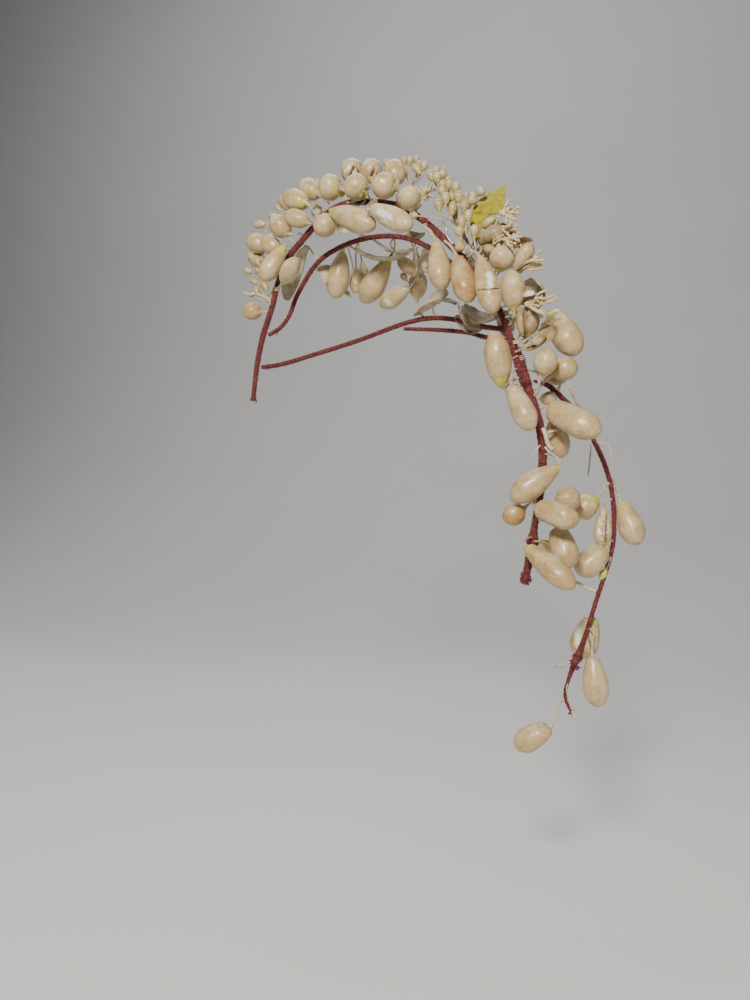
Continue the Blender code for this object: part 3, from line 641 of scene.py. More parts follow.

# %% Damage and hidden buds
# Damage that the photograph shows, each on one bud: the pixels it runs between, its half width in
# pixels, how deep it goes in millimetres, and the mark that it leaves in the colour.
# A crack's dark mark is painted shade in the split.
DAMAGE = [
    ("bud_crown_split", (348, 176), (354, 166), 1.7, 1.6, "crack", 1.0),
    ("bud_crown_split", (356, 165), (360, 172), 1.2, 0.9, "crack", 0.8),
    ("bud_crown_split", (344, 172), (349, 166), 1.6, 0.3, "chip", 0.6),
    ("bud_crown_pierced", (371, 174), (373, 171), 2.2, 2.0, "crack", 1.0),
    ("bud_crown_pierced", (374, 167), (378, 174), 1.4, 1.0, "crack", 0.7),
    ("bud_trail_split", (576, 626), (579, 648), 4.5, 0.4, "chip", 0.75),
    ("bud_trail_shrunk", (598, 516), (601, 543), 2.6, 0.9, "chip", 0.45),
    ("bud_trail_shrunk", (603, 515), (602, 533), 1.0, 1.1, "crack", 0.4),
    ("bud_trail_shrunk", (608, 516), (607, 542), 1.9, 1.5, "crack", 0.7),
    ("bud_left_drop", (266, 272), (272, 262), 3.0, 0.1, "chip", 0.25),
    ("bud_side_oval", (508, 281), (510, 292), 4.0, 0.1, "chip", 0.2),
    ("bud_hang_cracked", (477, 290), (499, 288), 0.8, 0.5, "crack", 1.0),
    ("bud_hang_cracked", (489, 274), (491, 285), 3.2, 0.15, "chip", 1.0),
    ("bud_hang_cracked", (486, 297), (490, 305), 1.6, 0.05, "chip", 0.5),
    ("bud_front_dented", (380, 212), (388, 217), 4.4, 0.5, "chip", 0.95),
    ("bud_front_dented", (393, 212), (400, 219), 3.5, 0.6, "chip", 0.15),
    ("bud_front_dented", (377, 219), (386, 221), 2.0, 0.7, "crack", 0.2),
    ("bud_hang_second", (456, 262), (464, 268), 3.0, 0.25, "chip", 0.25),
    ("bud_stem_front", (514, 391), (524, 399), 2.0, 0.45, "chip", 0.15),
    ("bud_trail_split", (587, 632), (594, 655), 1.4, 0.9, "crack", 0.75),
    ("bud_trail_tip", (536, 725), (543, 734), 1.8, 0.4, "crack", 0.15),
    ("bud_low_cross", (538, 507), (541, 514), 1.2, 0.35, "crack", 0.2),
    ("bud_side_low", (583, 421), (586, 428), 2.0, 0.15, "chip", 0.3),
    ("bud_trail_outer", (621, 526), (623, 531), 1.6, 0.3, "chip", 0.5),
    ("bud_side_large", (556, 316), (566, 322), 3.5, 0.3, "chip", 0.3),
    ("bud_inside_right", (386, 301), (392, 305), 3.0, 0.2, "chip", 0.5),
]

# Buds that peep out between the others and have no solid of their own: calyx, free end (pixels and
# mm behind the arch), width in mm, outline, and the wire and pixel that its stem is bound to.
EXTRA_BUDS = {
    "behind_round": ((417, 299, 30), (419, 270, 30), 10.0, "round", "back_wire_upper", (424, 320)),
    "behind_drop": ((356, 268, 34), (356, 293, 34), 7.5, "drop", "inner_wire", (360, 240)),
    "behind_small": ((362, 262, 40), (366, 284, 42), 6.5, "drop", "inner_wire", (368, 238)),
    "behind_right": ((399, 256, 31), (414, 274, 32), 8.0, "round", "inner_wire", (400, 237)),
    "left_hidden": ((283, 230, 20), (270, 214.5, 22), 6.6, "round", "arch_wire", (300, 244)),
    "top_hidden": ((293, 208, 20), (280, 198, 22), 7.6, "round", "arch_wire", (316, 224)),
    "left_outer": ((267, 247, 5), (248.5, 240, 5), 10.8, "round", "arch_wire", (283, 262)),
    "left_lower": ((266, 263, 10), (249.5, 257, 10), 8.6, "round", "arch_wire", (276, 276)),
    "side_tan": ((537, 372, 17), (567, 379, 19), 8.5, "drop", "near_stem", (528, 374)),
    "side_half": ((540, 399, 13), (557, 398, 14), 6.5, "drop", "near_stem", (535, 400)),
    "blossom_side": ((515, 270, -3), (532, 243, -4), 6.8, "drop", "arch_wire", (492, 297)),
    "trail_shrunk": ((604, 509, 27), (602, 547, 25), 8.6, "drop", "trail_wire", (612, 500)),
    "trail_little": ((606, 569, 27), (600, 580, 26.5), 3.4, "round", "trail_wire", (611, 556)),
}
OUTLINES = {
    "round": [(1.0, 0.14), (0.92, 0.52), (0.66, 0.96), (0.36, 0.98), (0.12, 0.66), (0.0, 0.26)],
    "drop": [(1.0, 0.14), (0.93, 0.58), (0.72, 0.99), (0.46, 0.92), (0.2, 0.6), (0.0, 0.18)],
}
EXTRA_STEM = 0.62 * MM
print("listed", len(DAMAGE), "marks of damage and", len(EXTRA_BUDS), "hidden buds")

# %% [markdown]
# A bud's line comes from its solid's rings, set where the photograph shows the bud. Its profile could
# be drawn by hand for each one. But they are all one shape that hands varied, so a rule draws it: it
# stays full to its shoulder, a dome closes it at the calyx, and where it's short it's a ball.

# %% A bud's line
STEM_SHARE = [0.6, 0.3, 0.0]      # how much of a bud's step aside each ring of its stem takes
BALL_BELOW = 2.7                  # a bud shorter than this many of its widest radii is a ball
WIDENING = 1.02                   # a bud's rings widen at least this much from its free end
POINT_GIRTH = 0.02 * MM           # the radius that a sweep ends on


def from_tip(rings):
    """A bud's rings in order from its free end to its wire."""
    return rings[::-1] if rings[1, 3] < WIDENING * rings[0, 3] else rings


def settled(name, rings):
    """A bud's rings from its tip to its wire, stepped aside, with the stem's end on the wire."""
    rings = from_tip(rings).copy()
    right, up, away = ASIDE.get(name, (0, 0, 0))
    shares = [1.0] * BODY_RINGS + STEM_SHARE
    rings[:, :3] += np.outer(shares, RIGHT * right + UPWARD * up + AHEAD * away) * MM
    calyx = rings[BODY_RINGS - 1, :3].copy()
    _, length_share = PROPORTIONS.get(name, AS_SOLID)
    rings[:BODY_RINGS, :3] = calyx + (rings[:BODY_RINGS, :3] - calyx) * length_share
    rings[-1, :3] = nearest_on_wires(rings[-1, :3])
    return rings


def bud_line(rings, blunt, stem_girth):
    """A bud's centreline and radius from tip to wire, and how far along it each row is."""
    rings = rings * [1, 1, 1, SOLID_TO_ROUND]
    rings[BODY_RINGS:, 3] *= stem_girth
    tip = rings[0].copy()
    tip[:3] += unit(rings[0, :3] - rings[1, :3]) * rings[0, 3] * TIP_ROUND
    tip[3] = POINT_GIRTH
    rows = np.vstack([tip, rings])
    run = np.concatenate([[0.0], np.cumsum(np.linalg.norm(np.diff(rows[:, :3], axis=0), axis=1))])
    outline = smooth_rows(np.column_stack([run, rows[:, 3], np.zeros(len(run)), rows[:, :3]]), BUD_STEP)
    along = outline[:, 0] / run[BODY_RINGS]
    radii = np.maximum(outline[:, 1], POINT_GIRTH)
    narrowing = ((along - WIDEST) / (1 - WIDEST)).clip(0, 1) ** SHOULDER
    full = radii[along < 1].max() * (1 - (1 - blunt) * narrowing)
    closing = ((along - 1) * run[BODY_RINGS] / (CLOSING * blunt * radii.max()) + 1).clip(0, 1)
    shouldered = np.maximum(radii, full * np.sqrt(1 - closing ** 2))
    radii = np.where(along > WIDEST, shouldered, radii)
    if run[BODY_RINGS] < BALL_BELOW * radii.max():
        ball = radii.max() * np.sqrt(np.clip(1 - (2 * along - 1) ** 2, 0, 1))
        radii = np.maximum(radii, ball)
    return np.column_stack([outline[:, 3:6], radii]), along


print("first bud's line has", len(bud_line(settled(*next(iter(BUDS.items()))), 0.3, 1)[0]), "rings")

# %% [markdown]
# Old wax chips, cracks and dents, and only what shows was listed. Each mark is pressed into the
# points that lie near its line as the camera sees them, and is stored there too, so that the
# material can colour the fresh white of a chip and paint shade into a crack.

# %% A bud's surface
RAGGED = 0.5                      # how ragged a mark's outline is, in its own half widths
LIME = 0.12                       # how much of the usual paint is lime
LEAST_TAN, TAN_RANGE = 0.13, 1.1
# Shares of the radius:
LEAST_OVAL, MOST_OVAL = 0.015, 0.05
PLEAT_DEPTH, FOLD_DEPTH = 0.05, 0.04
BROAD_LUMPS, SMALL_LUMPS = 0.026, 0.016
STEM_CRUMPLE = 0.16


def mark_damage(name, points, outward, marks):
    """Presses each listed crack, dent or chip into the side that the photograph shows."""
    facing = np.einsum("ij,ij->i", outward, EYE - points) > 0
    seen = in_photo(points)
    for bud, start, end, half_width, deep, mark, strength in DAMAGE:
        if bud != name:
            continue
        start, span = np.array(start, float), np.array(end, float) - start
        share = np.clip((seen - start) @ span / (span @ span), 0, 1)
        away = np.linalg.norm(seen - start - share[:, None] * span, axis=1)
        away = away + RAGGED * half_width * rough(points, 900, 4.2)
        press = np.where(facing, np.exp(-(away / half_width) ** 2), 0)
        points -= outward * (press * deep * MM)[:, None]
        marks[mark] = np.maximum(marks[mark], strength * press)
    return points


def bud_parts(name, rings, seed):
    """One bud as points, faces and marks."""
    reach, strength, tan, blunt, stem_girth = BUD_LOOKS.get(name, USUAL_LOOK)
    girth_share, _ = PROPORTIONS.get(name, AS_SOLID)
    rings = rings * [1, 1, 1, girth_share]
    line, along = bud_line(settled(name, rings), blunt, stem_girth)
    chance = np.random.default_rng(seed)
    turns = chance.uniform(0, 2 * math.pi, 3)
    oval, pleats = chance.uniform(LEAST_OVAL, MOST_OVAL), int(chance.integers(5, 9))

    def shape(radii, angles):
        """The radii of an oval section, pleated at the calyx."""
        wax = (1 - ease(along, 0.98, 1.04))[:, None]
        near_calyx = (ease(along, 0.86, 0.99) * (1 - ease(along, 1.0, 1.1)))[:, None]
        radii = radii * (1 + wax * oval * np.cos(2 * angles + turns[0]))
        radii = radii * (1 + PLEAT_DEPTH * near_calyx * np.cos(pleats * angles + turns[1]))
        return radii * (1 + FOLD_DEPTH * near_calyx * np.cos((2 * pleats + 1) * angles + turns[2]))

    points, faces, owner = sweep(line, BUD_AROUND, shape)
    along = along[owner]
    outward = unit(points - line[owner, :3] + NEAR)
    wax = 1 - ease(along, 0.98, 1.06)
    girth = line[:, 3].max()
    lumps = (rough(points, 0.5 / girth, seed) * BROAD_LUMPS
             + rough(points, 1.5 / girth, seed + 9) * SMALL_LUMPS)
    points += outward * (lumps * wax * line[owner, 3])[:, None]
    points += outward * (rough(points, 1600, seed) * (1 - wax) * STEM_CRUMPLE * line[owner, 3])[:, None]
    patch = 0.5 + 0.9 * rough(points, 260, seed + 3)
    cap = strength * ease(along, 1 - reach * 1.7, 1 - reach * 0.8) * np.clip(patch + 0.25, 0.35, 1.1)
    cap *= 1 - ease(along, 1.05, 1.2)
    marks = {"cap": cap, "stem": ease(along, 1.0, 1.06), "lime": np.full(len(points), LIME),
             "tone": (LEAST_TAN + TAN_RANGE * tan) * (0.75 + rough(points, 190, seed + 5)).clip(0, 1.1),
             # a faint dark ring of dirt at the calyx, stored with the cracks' painted shade
             "crack": 0.4 * ease(along, 0.97, 1.0) * (1 - ease(along, 1.0, 1.05)),
             "chip": np.zeros(len(points))}
    return mark_damage(name, points, outward, marks), faces, marks


print("a bud takes marks named", sorted(bud_parts("bud_top_slim", BUDS["bud_top_slim"], 0)[2]))

# %% [markdown]
# The same recipe makes all the buds. Each that has a solid becomes a piece of its own and replaces
# it. The others only peep out between them, so they are one piece, and their rings are laid along a
# line that the photograph gives.

# %% The buds


def extra_rings(calyx, free, width, outline, wire, tie):
    """The same nine rings that a solid gives, for a bud without one."""
    calyx, free = sighted(*calyx), sighted(*free)
    end = on_wire(wire, *tie)[0]
    away = unit(calyx - free)
    reach = np.linalg.norm(end - calyx)
    stem = [calyx + away * 0.3 * reach, calyx + away * 0.3 * reach + (end - calyx) * 0.35, end]
    body = [(*(calyx + (free - calyx) * share), wide * width * MM / 2)
            for share, wide in OUTLINES[outline]]
    return np.array(body + [(*point, EXTRA_STEM) for point in stem])


def make_extra_buds():
    """The buds without solids, as one piece."""
    parts = [bud_parts("bud_" + name, extra_rings(*row), 100 + seed)
             for seed, (name, row) in enumerate(EXTRA_BUDS.items())]
    return piece_of(merged(parts), "hidden_buds", WAX)


def make_buds():
    """A piece for each bud's solid, and how many points it has."""
    for seed, (name, rings) in enumerate(BUDS.items()):
        part = bud_parts(name, rings, seed)
        piece_of(part, name.replace("bud_", "wax_bud_"), WAX, [name])
        yield len(part[0])


counts = list(make_buds())
print("made", len(counts), "buds of about", counts[0], "points, and", make_extra_buds().name)

# %% [markdown]
# Everything thin is made by Geometry Nodes trees. They take lines of edges whose points carry their
# own girth, so one tree serves wires of any route. A few helpers make such a line, start a tree with
# named inputs, end it in real faces with a material, and turn its result into a plain mesh.

# %% Lines for the trees to follow


def line_mesh(name, routes, extra=None):
    """Lines of edges, each from rows of x, y, z and radius, with more numbers on their points."""
    mesh = bpy.data.meshes.new(name)
    points = np.vstack([rows[:, :3] for rows in routes])
    starts = np.cumsum([0] + [len(rows) for rows in routes])
    edges = [(i, i + 1) for start, end in zip(starts, starts[1:]) for i in range(start, end - 1)]
    mesh.from_pydata([tuple(point) for point in points], edges, [])
    values = {"thick": np.concatenate([rows[:, 3] for rows in routes]), **(extra or {})}
    for key, column in values.items():
        column = np.asarray(column, dtype=np.float32)
        kind, field = ("FLOAT_VECTOR", "vector") if column.ndim == 2 else ("FLOAT", "value")
        stored = mesh.attributes.new(key, kind, "POINT")
        stored.data.foreach_set(field, column.ravel())
    return mesh


def new_tree(name, inputs):
    """An empty tree of geometry in and out, with named inputs and their sockets' identifiers."""
    tree = bpy.data.node_groups.new(name, "GeometryNodeTree")
    tree.interface.new_socket("Geometry", in_out="INPUT", socket_type="NodeSocketGeometry")
    tree.interface.new_socket("Geometry", in_out="OUTPUT", socket_type="NodeSocketGeometry")
    for key, kind in inputs.items():
        tree.interface.new_socket(key, in_out="INPUT", socket_type="NodeSocket" + kind)
    return tree, tree.nodes.new("NodeGroupInput"), tree.nodes.new("NodeGroupOutput")


def store_number(tree, shape, name, value):
    """The shape with a number stored on its points."""
    return add_node(tree, "GeometryNodeStoreNamedAttribute", {
        "Geometry": shape, "Name": name, "Value": value}, data_type="FLOAT", domain="POINT")


def close_tree(tree, outlet, shape, material):
    """Ends a tree with real faces, smooth shading and a material."""
    real = add_node(tree, "GeometryNodeRealizeInstances", {"Geometry": shape})
    soft = add_node(tree, "GeometryNodeSetShadeSmooth", {"Geometry": real})
    dressed = add_node(tree, "GeometryNodeSetMaterial", {"Geometry": soft, "Material": material})
    tree.links.new(result(dressed), outlet.inputs["Geometry"])
    return tree


def grown(name, mesh, tree, values):
    """The plain mesh that a tree makes of the given one."""
    source = bpy.data.objects.new(name + "_source", mesh)
    bpy.context.scene.collection.objects.link(source)
    modifier = source.modifiers.new("growth", "NODES")
    modifier.node_group = tree
    sockets = {item.name: item.identifier for item in tree.interface.items_tree
               if item.in_out == "INPUT"}
    for key, value in values.items():
        modifier[sockets[key]] = value
    bpy.context.view_layer.update()
    ready = source.evaluated_get(bpy.context.evaluated_depsgraph_get())
    made = bpy.data.meshes.new_from_object(ready)
    made.name = name
    bpy.data.objects.remove(source)
    return made


def named(tree, name, kind="FLOAT"):
    """A number that the line's points carry."""
    return result(add_node(tree, "GeometryNodeInputNamedAttribute", {"Name": name}, data_type=kind),
                  "Attribute")


lengths = {name: np.linalg.norm(np.diff(rows[:, :3], axis=0), axis=1).sum()
           for name, rows in WIRES.items()}
print("wires to wind, in mm:", {name: round(length / MM) for name, length in lengths.items()})

# %% [markdown]
# The first tree winds a strip of paper round a wire. It spaces the line evenly, sweeps a circle along
# it, and lifts the surface in a saw tooth that climbs once a turn, which is where each turn of the
# strip laps over the last. Noise crumples the paper. The step at the lap is stored, so that the
# material can darken it.

# %% The paper wrap tree


def wrap_tree():
    """A tree that winds paper round a line."""
    tree, inlet, outlet = new_tree("paper_wrap", {
        "Strip Width": "Float", "Lap Height": "Float", "Crumple": "Float", "Step": "Float",
        "Sides": "Int", "Seed": "Float", "Material": "Material"})
    line = add_node(tree, "GeometryNodeMeshToCurve", {"Mesh": inlet.outputs["Geometry"]})
    even = add_node(tree, "GeometryNodeResampleCurve", {
        "Curve": line, "Length": inlet.outputs["Step"]}, mode="LENGTH")
    place = add_node(tree, "GeometryNodeSplineParameter")
    far = store_number(tree, even, "far", result(place, "Length"))
    ring = add_node(tree, "GeometryNodeCurvePrimitiveCircle", {
        "Resolution": inlet.outputs["Sides"], "Radius": 1.0})
    angle = store_number(tree, result(ring, "Curve"), "angle", result(place, "Factor"))
    tube = add_node(tree, "GeometryNodeCurveToMesh", {
        "Curve": far, "Profile Curve": angle, "Scale": named(tree, "thick"), "Fill Caps": True})
    turns = calculate(tree, "DIVIDE", named(tree, "far"), inlet.outputs["Strip Width"])
    lap = calculate(tree, "FRACT", calculate(tree, "ADD", turns, named(tree, "angle")))
    seat = add_node(tree, "GeometryNodeInputPosition")
    shift = add_node(tree, "ShaderNodeCombineXYZ", {"X": inlet.outputs["Seed"]})
    moved = add_node(tree, "ShaderNodeVectorMath", {0: seat, 1: shift}, operation="ADD")
    creases = add_node(tree, "ShaderNodeTexNoise", {
        "Vector": moved, "Scale": 900.0, "Detail": 3.0, "Roughness": 0.6})
    crumple = calculate(tree, "MULTIPLY", calculate(tree, "SUBTRACT", result(creases, "Fac"), 0.5),
                        inlet.outputs["Crumple"])
    height = calculate(tree, "MULTIPLY_ADD", lap, inlet.outputs["Lap Height"], crumple)
    normal = result(add_node(tree, "GeometryNodeInputNormal"), "Normal")
    lift = add_node(tree, "ShaderNodeVectorMath", {"Vector": normal, "Scale": height},
                    operation="SCALE")
    raised = add_node(tree, "GeometryNodeSetPosition", {"Geometry": tube, "Offset": result(lift)})
    edge = sharpened(tree, lap, 0.82, 1.0)
    marked = store_number(tree, raised, "edge", edge)
    return close_tree(tree, outlet, marked, inlet.outputs["Material"])


WRAP = wrap_tree()
print("made the tree", WRAP.name, "with", len(WRAP.nodes), "nodes")

# %% [markdown]
# Fine fibres stand off worn tissue. Drawn one by one they would take days, so a tree scatters points
# over a finished wrap and sets a small bent hair on each, leaning its own way.

# %% The fibre tree


def fibre_tree():
    """A tree that grows short hairs on a surface."""
    tree, inlet, outlet = new_tree("paper_fibres", {
        "Density": "Float", "Length": "Float", "Thickness": "Float", "Seed": "Int",
        "Material": "Material"})
    spots = add_node(tree, "GeometryNodeDistributePointsOnFaces", {
        "Mesh": inlet.outputs["Geometry"], "Density": inlet.outputs["Density"],
        "Seed": inlet.outputs["Seed"]})
    bend = add_node(tree, "GeometryNodeCurvePrimitiveBezierSegment", {
        "Resolution": 4, "Start": (0, 0, -0.1), "Start Handle": (0.1, 0, 0.3),
        "End Handle": (0.25, 0.1, 0.5), "End": (0.75, 0.2, 0.55)})
    ring = add_node(tree, "GeometryNodeCurvePrimitiveCircle", {
        "Resolution": 3, "Radius": inlet.outputs["Thickness"]})
    hair = add_node(tree, "GeometryNodeCurveToMesh", {
        "Curve": bend, "Profile Curve": result(ring, "Curve"), "Fill Caps": True})
    spin = add_node(tree, "FunctionNodeRandomValue", {
        "Min": (-0.5, -0.5, 0.0), "Max": (0.5, 0.5, 6.28), "Seed": inlet.outputs["Seed"]},
        data_type="FLOAT_VECTOR")
    turned = add_node(tree, "FunctionNodeRotateRotation", {
        "Rotation": result(spots, "Rotation"),
        "Rotate By": add_node(tree, "FunctionNodeEulerToRotation", {"Euler": spin})},
        rotation_space="LOCAL")
    share = add_node(tree, "FunctionNodeRandomValue", {
        "Min": 0.35, "Max": 1.0, "Seed": calculate(tree, "ADD", inlet.outputs["Seed"], 3.0)},
        data_type="FLOAT")
    size = calculate(tree, "MULTIPLY", share, inlet.outputs["Length"])
    hairs = add_node(tree, "GeometryNodeInstanceOnPoints", {
        "Points": result(spots, "Points"), "Instance": hair, "Rotation": turned, "Scale": size})
    return close_tree(tree, outlet, hairs, inlet.outputs["Material"])


FIBRES = fibre_tree()
print("made the tree", FIBRES.name, "with", len(FIBRES.nodes), "nodes")

# %% [markdown]
# Six wires carry everything. Each is wound from its own line, a little thinner than its solid because
# the paper adds to it, and thicker where the strip was wound over itself into a lump.

# %% The wires
ROUTE_STEP = 2.0 * MM
WRAP_STEP = 0.4 * MM
WRAP_SIDES = 16
STRIP_WIDTH = 2.6 * MM
LAP_HEIGHT = 0.16 * MM
CRUMPLE = 0.55 * MM
USUAL_WRAP_SHARE = 0.92       # a wire's own girth before the paper's laps, as a share of its solid's
WRAP_SHARES = {"trail_wire": 0.8, "inner_wire": 0.88, "back_wire_upper": 0.85, "back_wire_lower": 0.85}
FIBRES_PER_AREA = 600000      # per square metre of paper
FIBRE_LENGTH = 1.1 * MM
FIBRE_THICKNESS = 0.06        # as a share of its length
# Where the paper is wound into a lump: the wire, the pixel, how much thicker, and over how many mm.
SWELLINGS = [("near_stem", (533, 540), 0.45, 2.2), ("near_stem", (525.5, 580), 0.25, 1.6),
             ("trail_wire", (575, 660), 0.35, 2.0)]


def wrapped_wires():
    """Each wire wound in paper, with its fibres, standing for its solid."""
    for seed, (name, rings) in enumerate(WIRES.items()):
        route = smooth_rows(rings, ROUTE_STEP)
        route[:, 3] *= WRAP_SHARES.get(name, USUAL_WRAP_SHARE)
        for wire, spot, more, half in SWELLINGS:
            away = np.linalg.norm(route[:, :3] - on_wire(wire, *spot)[0], axis=1) / (half * MM)
            route[:, 3] *= 1 + (wire == name) * more * np.exp(-away ** 2)
        wrap = grown("wrapped_" + name, line_mesh(name + "_line", [route]), WRAP, {
            "Strip Width": STRIP_WIDTH, "Lap Height": LAP_HEIGHT, "Crumple": CRUMPLE,
            "Step": WRAP_STEP, "Sides": WRAP_SIDES, "Seed": float(seed), "Material": CRIMSON})
        hairs = grown("fibres_" + name, wrap.copy(), FIBRES, {
            "Density": float(FIBRES_PER_AREA), "Length": FIBRE_LENGTH, "Thickness": FIBRE_THICKNESS,
            "Seed": seed, "Material": CRIMSON_FIBRE})
        finish_piece(wrap.name, wrap, [name])
        finish_piece(hairs.name, hairs)
        yield wrap.name, len(wrap.polygons), len(hairs.polygons)


for line in wrapped_wires():
    print("wound", *line)

# %% [markdown]
# Where the near stem meets the arch, one strip of paper binds both wires. Two wraps would cut through
# each other there, so a sleeve goes round the pair. Its section is the outline of the two round wires
# together, found by asking, for each direction, which of them reaches further that way.

# %% The binding
BINDING_FROM, BINDING_TO = (506, 328), (527, 393)
BINDING_STATIONS = 70
BINDING_AROUND = 40
BINDING_ROOM = 0.1 * MM
BINDING_ENDS = 0.16           # the share of its length over which it tapers at each end
BINDING_LAPS = 14
BINDING_SEAT = 0.25 * MM      # how deep its two ends sink into the wires
LAP_EDGE = 0.86               # from here on a lap counts as its strip's edge


def binding_part():
    """The sleeve round the end of the arch wire and the near stem."""
    share = np.linspace(0, 1, BINDING_STATIONS)
    sights = np.array(BINDING_FROM) + np.outer(share, np.subtract(BINDING_TO, BINDING_FROM))
    first = [on_wire("arch_wire", x, y) for x, y in sights]
    second = [on_wire("near_stem", x, y) for x, y in sights]
    angles = np.linspace(0, 2 * math.pi, BINDING_AROUND, endpoint=False)
    taper = ease(share, 0, BINDING_ENDS) * (1 - ease(share, 1 - BINDING_ENDS, 1))
    rings = []
    for at, (a, along, thin), (b, _, thick), room in zip(share, first, second, taper):
        across = unit(b - a - along * ((b - a) @ along))
        up = np.cross(along, across)
        out = np.cos(angles)[:, None] * across + np.sin(angles)[:, None] * up
        wind = (at * BINDING_LAPS + angles / (2 * math.pi)) % 1.0
        lift = (BINDING_ROOM * (0.5 + wind) + BINDING_SEAT) * room - BINDING_SEAT
        spots = np.where((out @ (a - b) + thin - thick)[:, None] > 0, a + out * thin, b + out * thick)
        rings.append(spots + out * lift[:, None])
    ring = np.array(rings)
    points = np.vstack([ring.reshape(-1, 3), ring[0].mean(axis=0), ring[-1].mean(axis=0)])
    middles = np.repeat([spots.mean(axis=0) for spots in ring], BINDING_AROUND, axis=0)
    ends = [ring[0].mean(axis=0) + MM, ring[-1].mean(axis=0) + MM]
    outward = unit(points - np.append(middles, ends, axis=0))
    points += rough(points, 700, 5)[:, None] * outward * 0.2 * MM
    winds = (share[:, None] * BINDING_LAPS + angles / (2 * math.pi)) % 1.0
    edge = np.append((winds > LAP_EDGE).ravel(), [0, 0])
    return points, ring_faces(BINDING_STATIONS, BINDING_AROUND), {"edge": edge.astype(float)}


binding = piece_of(binding_part(), "paper_binding", CRIMSON)
print("bound with", len(binding.data.polygons), "faces")

# %% [markdown]
# The last tree makes everything that hangs by a thread of its own: stems, bare wires, stamens and
# the small buds at a sprig's ends. It sweeps each line thinly, and where a point is marked as a tip
# it sets a small shape there, aimed and sized by numbers on that point.

# %% The strand tree


def strand_tree():
    """A tree that sweeps thin lines and sets a shape on each tip."""
    tree, inlet, outlet = new_tree("strands", {"Sides": "Int", "Tip": "Object", "Material": "Material"})
    line = add_node(tree, "GeometryNodeMeshToCurve", {"Mesh": inlet.outputs["Geometry"]})
    ring = add_node(tree, "GeometryNodeCurvePrimitiveCircle", {
        "Resolution": inlet.outputs["Sides"], "Radius": 1.0})
    tube = add_node(tree, "GeometryNodeCurveToMesh", {
        "Curve": line, "Profile Curve": result(ring, "Curve"), "Scale": named(tree, "thick"),
        "Fill Caps": True})
    stems = store_number(tree, tube, "stem", 1.0)
    is_tip = add_node(tree, "FunctionNodeCompare", {
        "A": named(tree, "tip"), "B": 0.5}, data_type="FLOAT", operation="GREATER_THAN")
    aim = add_node(tree, "FunctionNodeAlignRotationToVector", {
        "Vector": named(tree, "aim", "FLOAT_VECTOR")}, axis="Z")
    shape = add_node(tree, "GeometryNodeObjectInfo", {
        "Object": inlet.outputs["Tip"], "As Instance": True})
    tips = add_node(tree, "GeometryNodeInstanceOnPoints", {
        "Points": inlet.outputs["Geometry"], "Selection": result(is_tip),
        "Instance": result(shape, "Geometry"), "Rotation": aim,
        "Scale": named(tree, "size", "FLOAT_VECTOR")})
    both = tree.nodes.new("GeometryNodeJoinGeometry")
    for part in (stems, tips):
        tree.links.new(result(part), both.inputs["Geometry"])
    return close_tree(tree, outlet, both, inlet.outputs["Material"])


STRANDS = strand_tree()
print("made the tree", STRANDS.name, "with", len(STRANDS.nodes), "nodes")

# %% [markdown]
# Only two shapes stand on tips: a grain of wax with a lime foot, and a stamen's blunt head. Each is a
# sweep of a short outline with few faces, because dozens of each are set.

# %% The shapes that stand on a tip


def tip_object(name, outline, around, seed, marks_of):
    """A small closed shape one unit long, from its foot at the origin up along Z."""
    heights, radii = np.array(outline).T
    rows = np.column_stack([0 * heights, 0 * heights, heights, radii])
    points, faces, owner = sweep(rows, around)
    points[:-2] *= 1 + 0.05 * rough(points[:-2] + 1.0, 2.5, seed)[:, None] * [1, 1, 0]
    mesh = new_mesh(name, points, faces, WAX, marks_of(points[:, 2]))
    shape = bpy.data.objects.new(name, mesh)
    bpy.context.scene.collection.objects.link(shape)
    return shape


def small_bud_marks(height):
    """Paint round the foot and a paler tip."""
    return {"cap": 0.95 * (1 - ease(height, 0.1, 0.34)),
            "lime": 0.25 + 0.5 * (1 - ease(height, 0.0, 0.2)),
            "tone": np.full(len(height), 0.35), "chip": 0.1 * ease(height, 0.3, 0.9)}


BUD_OUTLINE = [(0.0, 0.1), (0.04, 0.16), (0.12, 0.26), (0.24, 0.38), (0.4, 0.475), (0.58, 0.5),
               (0.74, 0.46), (0.86, 0.36), (0.94, 0.24), (0.985, 0.11), (1.0, 0.02)]
SMALL_BUD = tip_object("small_bud_shape", BUD_OUTLINE, 14, 2, small_bud_marks)
ANTHER_OUTLINE = [(0.0, 0.18), (0.1, 0.34), (0.3, 0.48), (0.55, 0.44), (0.8, 0.5), (0.95, 0.3),
                  (1.0, 0.05)]
ANTHER = tip_object("anther_shape", ANTHER_OUTLINE, 7, 5, lambda height: {"chip": 0 * height})
print("tip shapes:", SMALL_BUD.name, ANTHER.name)

# %% [markdown]
# The sprigs are bunches of small buds like rice grains, each with a lime calyx on a thin stem. The
# photograph places each one: a row gives the pixels of its tip and of its calyx, how far it lies
# behind the arch and how wide it is. Its stem drops into its bunch's common path and ends on the
# wire that the bunch is bound to.

# %% Where the small buds are
# Each bunch: its wire, its tie's pixel, and its common path as pixels and millimetres behind.
BUNCHES = {
    "left": ("arch_wire", (269, 306), [(263, 256, 8), (262, 274, 8), (262, 291, 7)]),
    "crown": ("arch_wire", (415, 213), [(411, 186, 11), (414, 199, 9)]),
    "top": ("arch_wire", (473, 264), [(460, 226, 4), (466, 240, 4), (470, 252, 3)]),
}
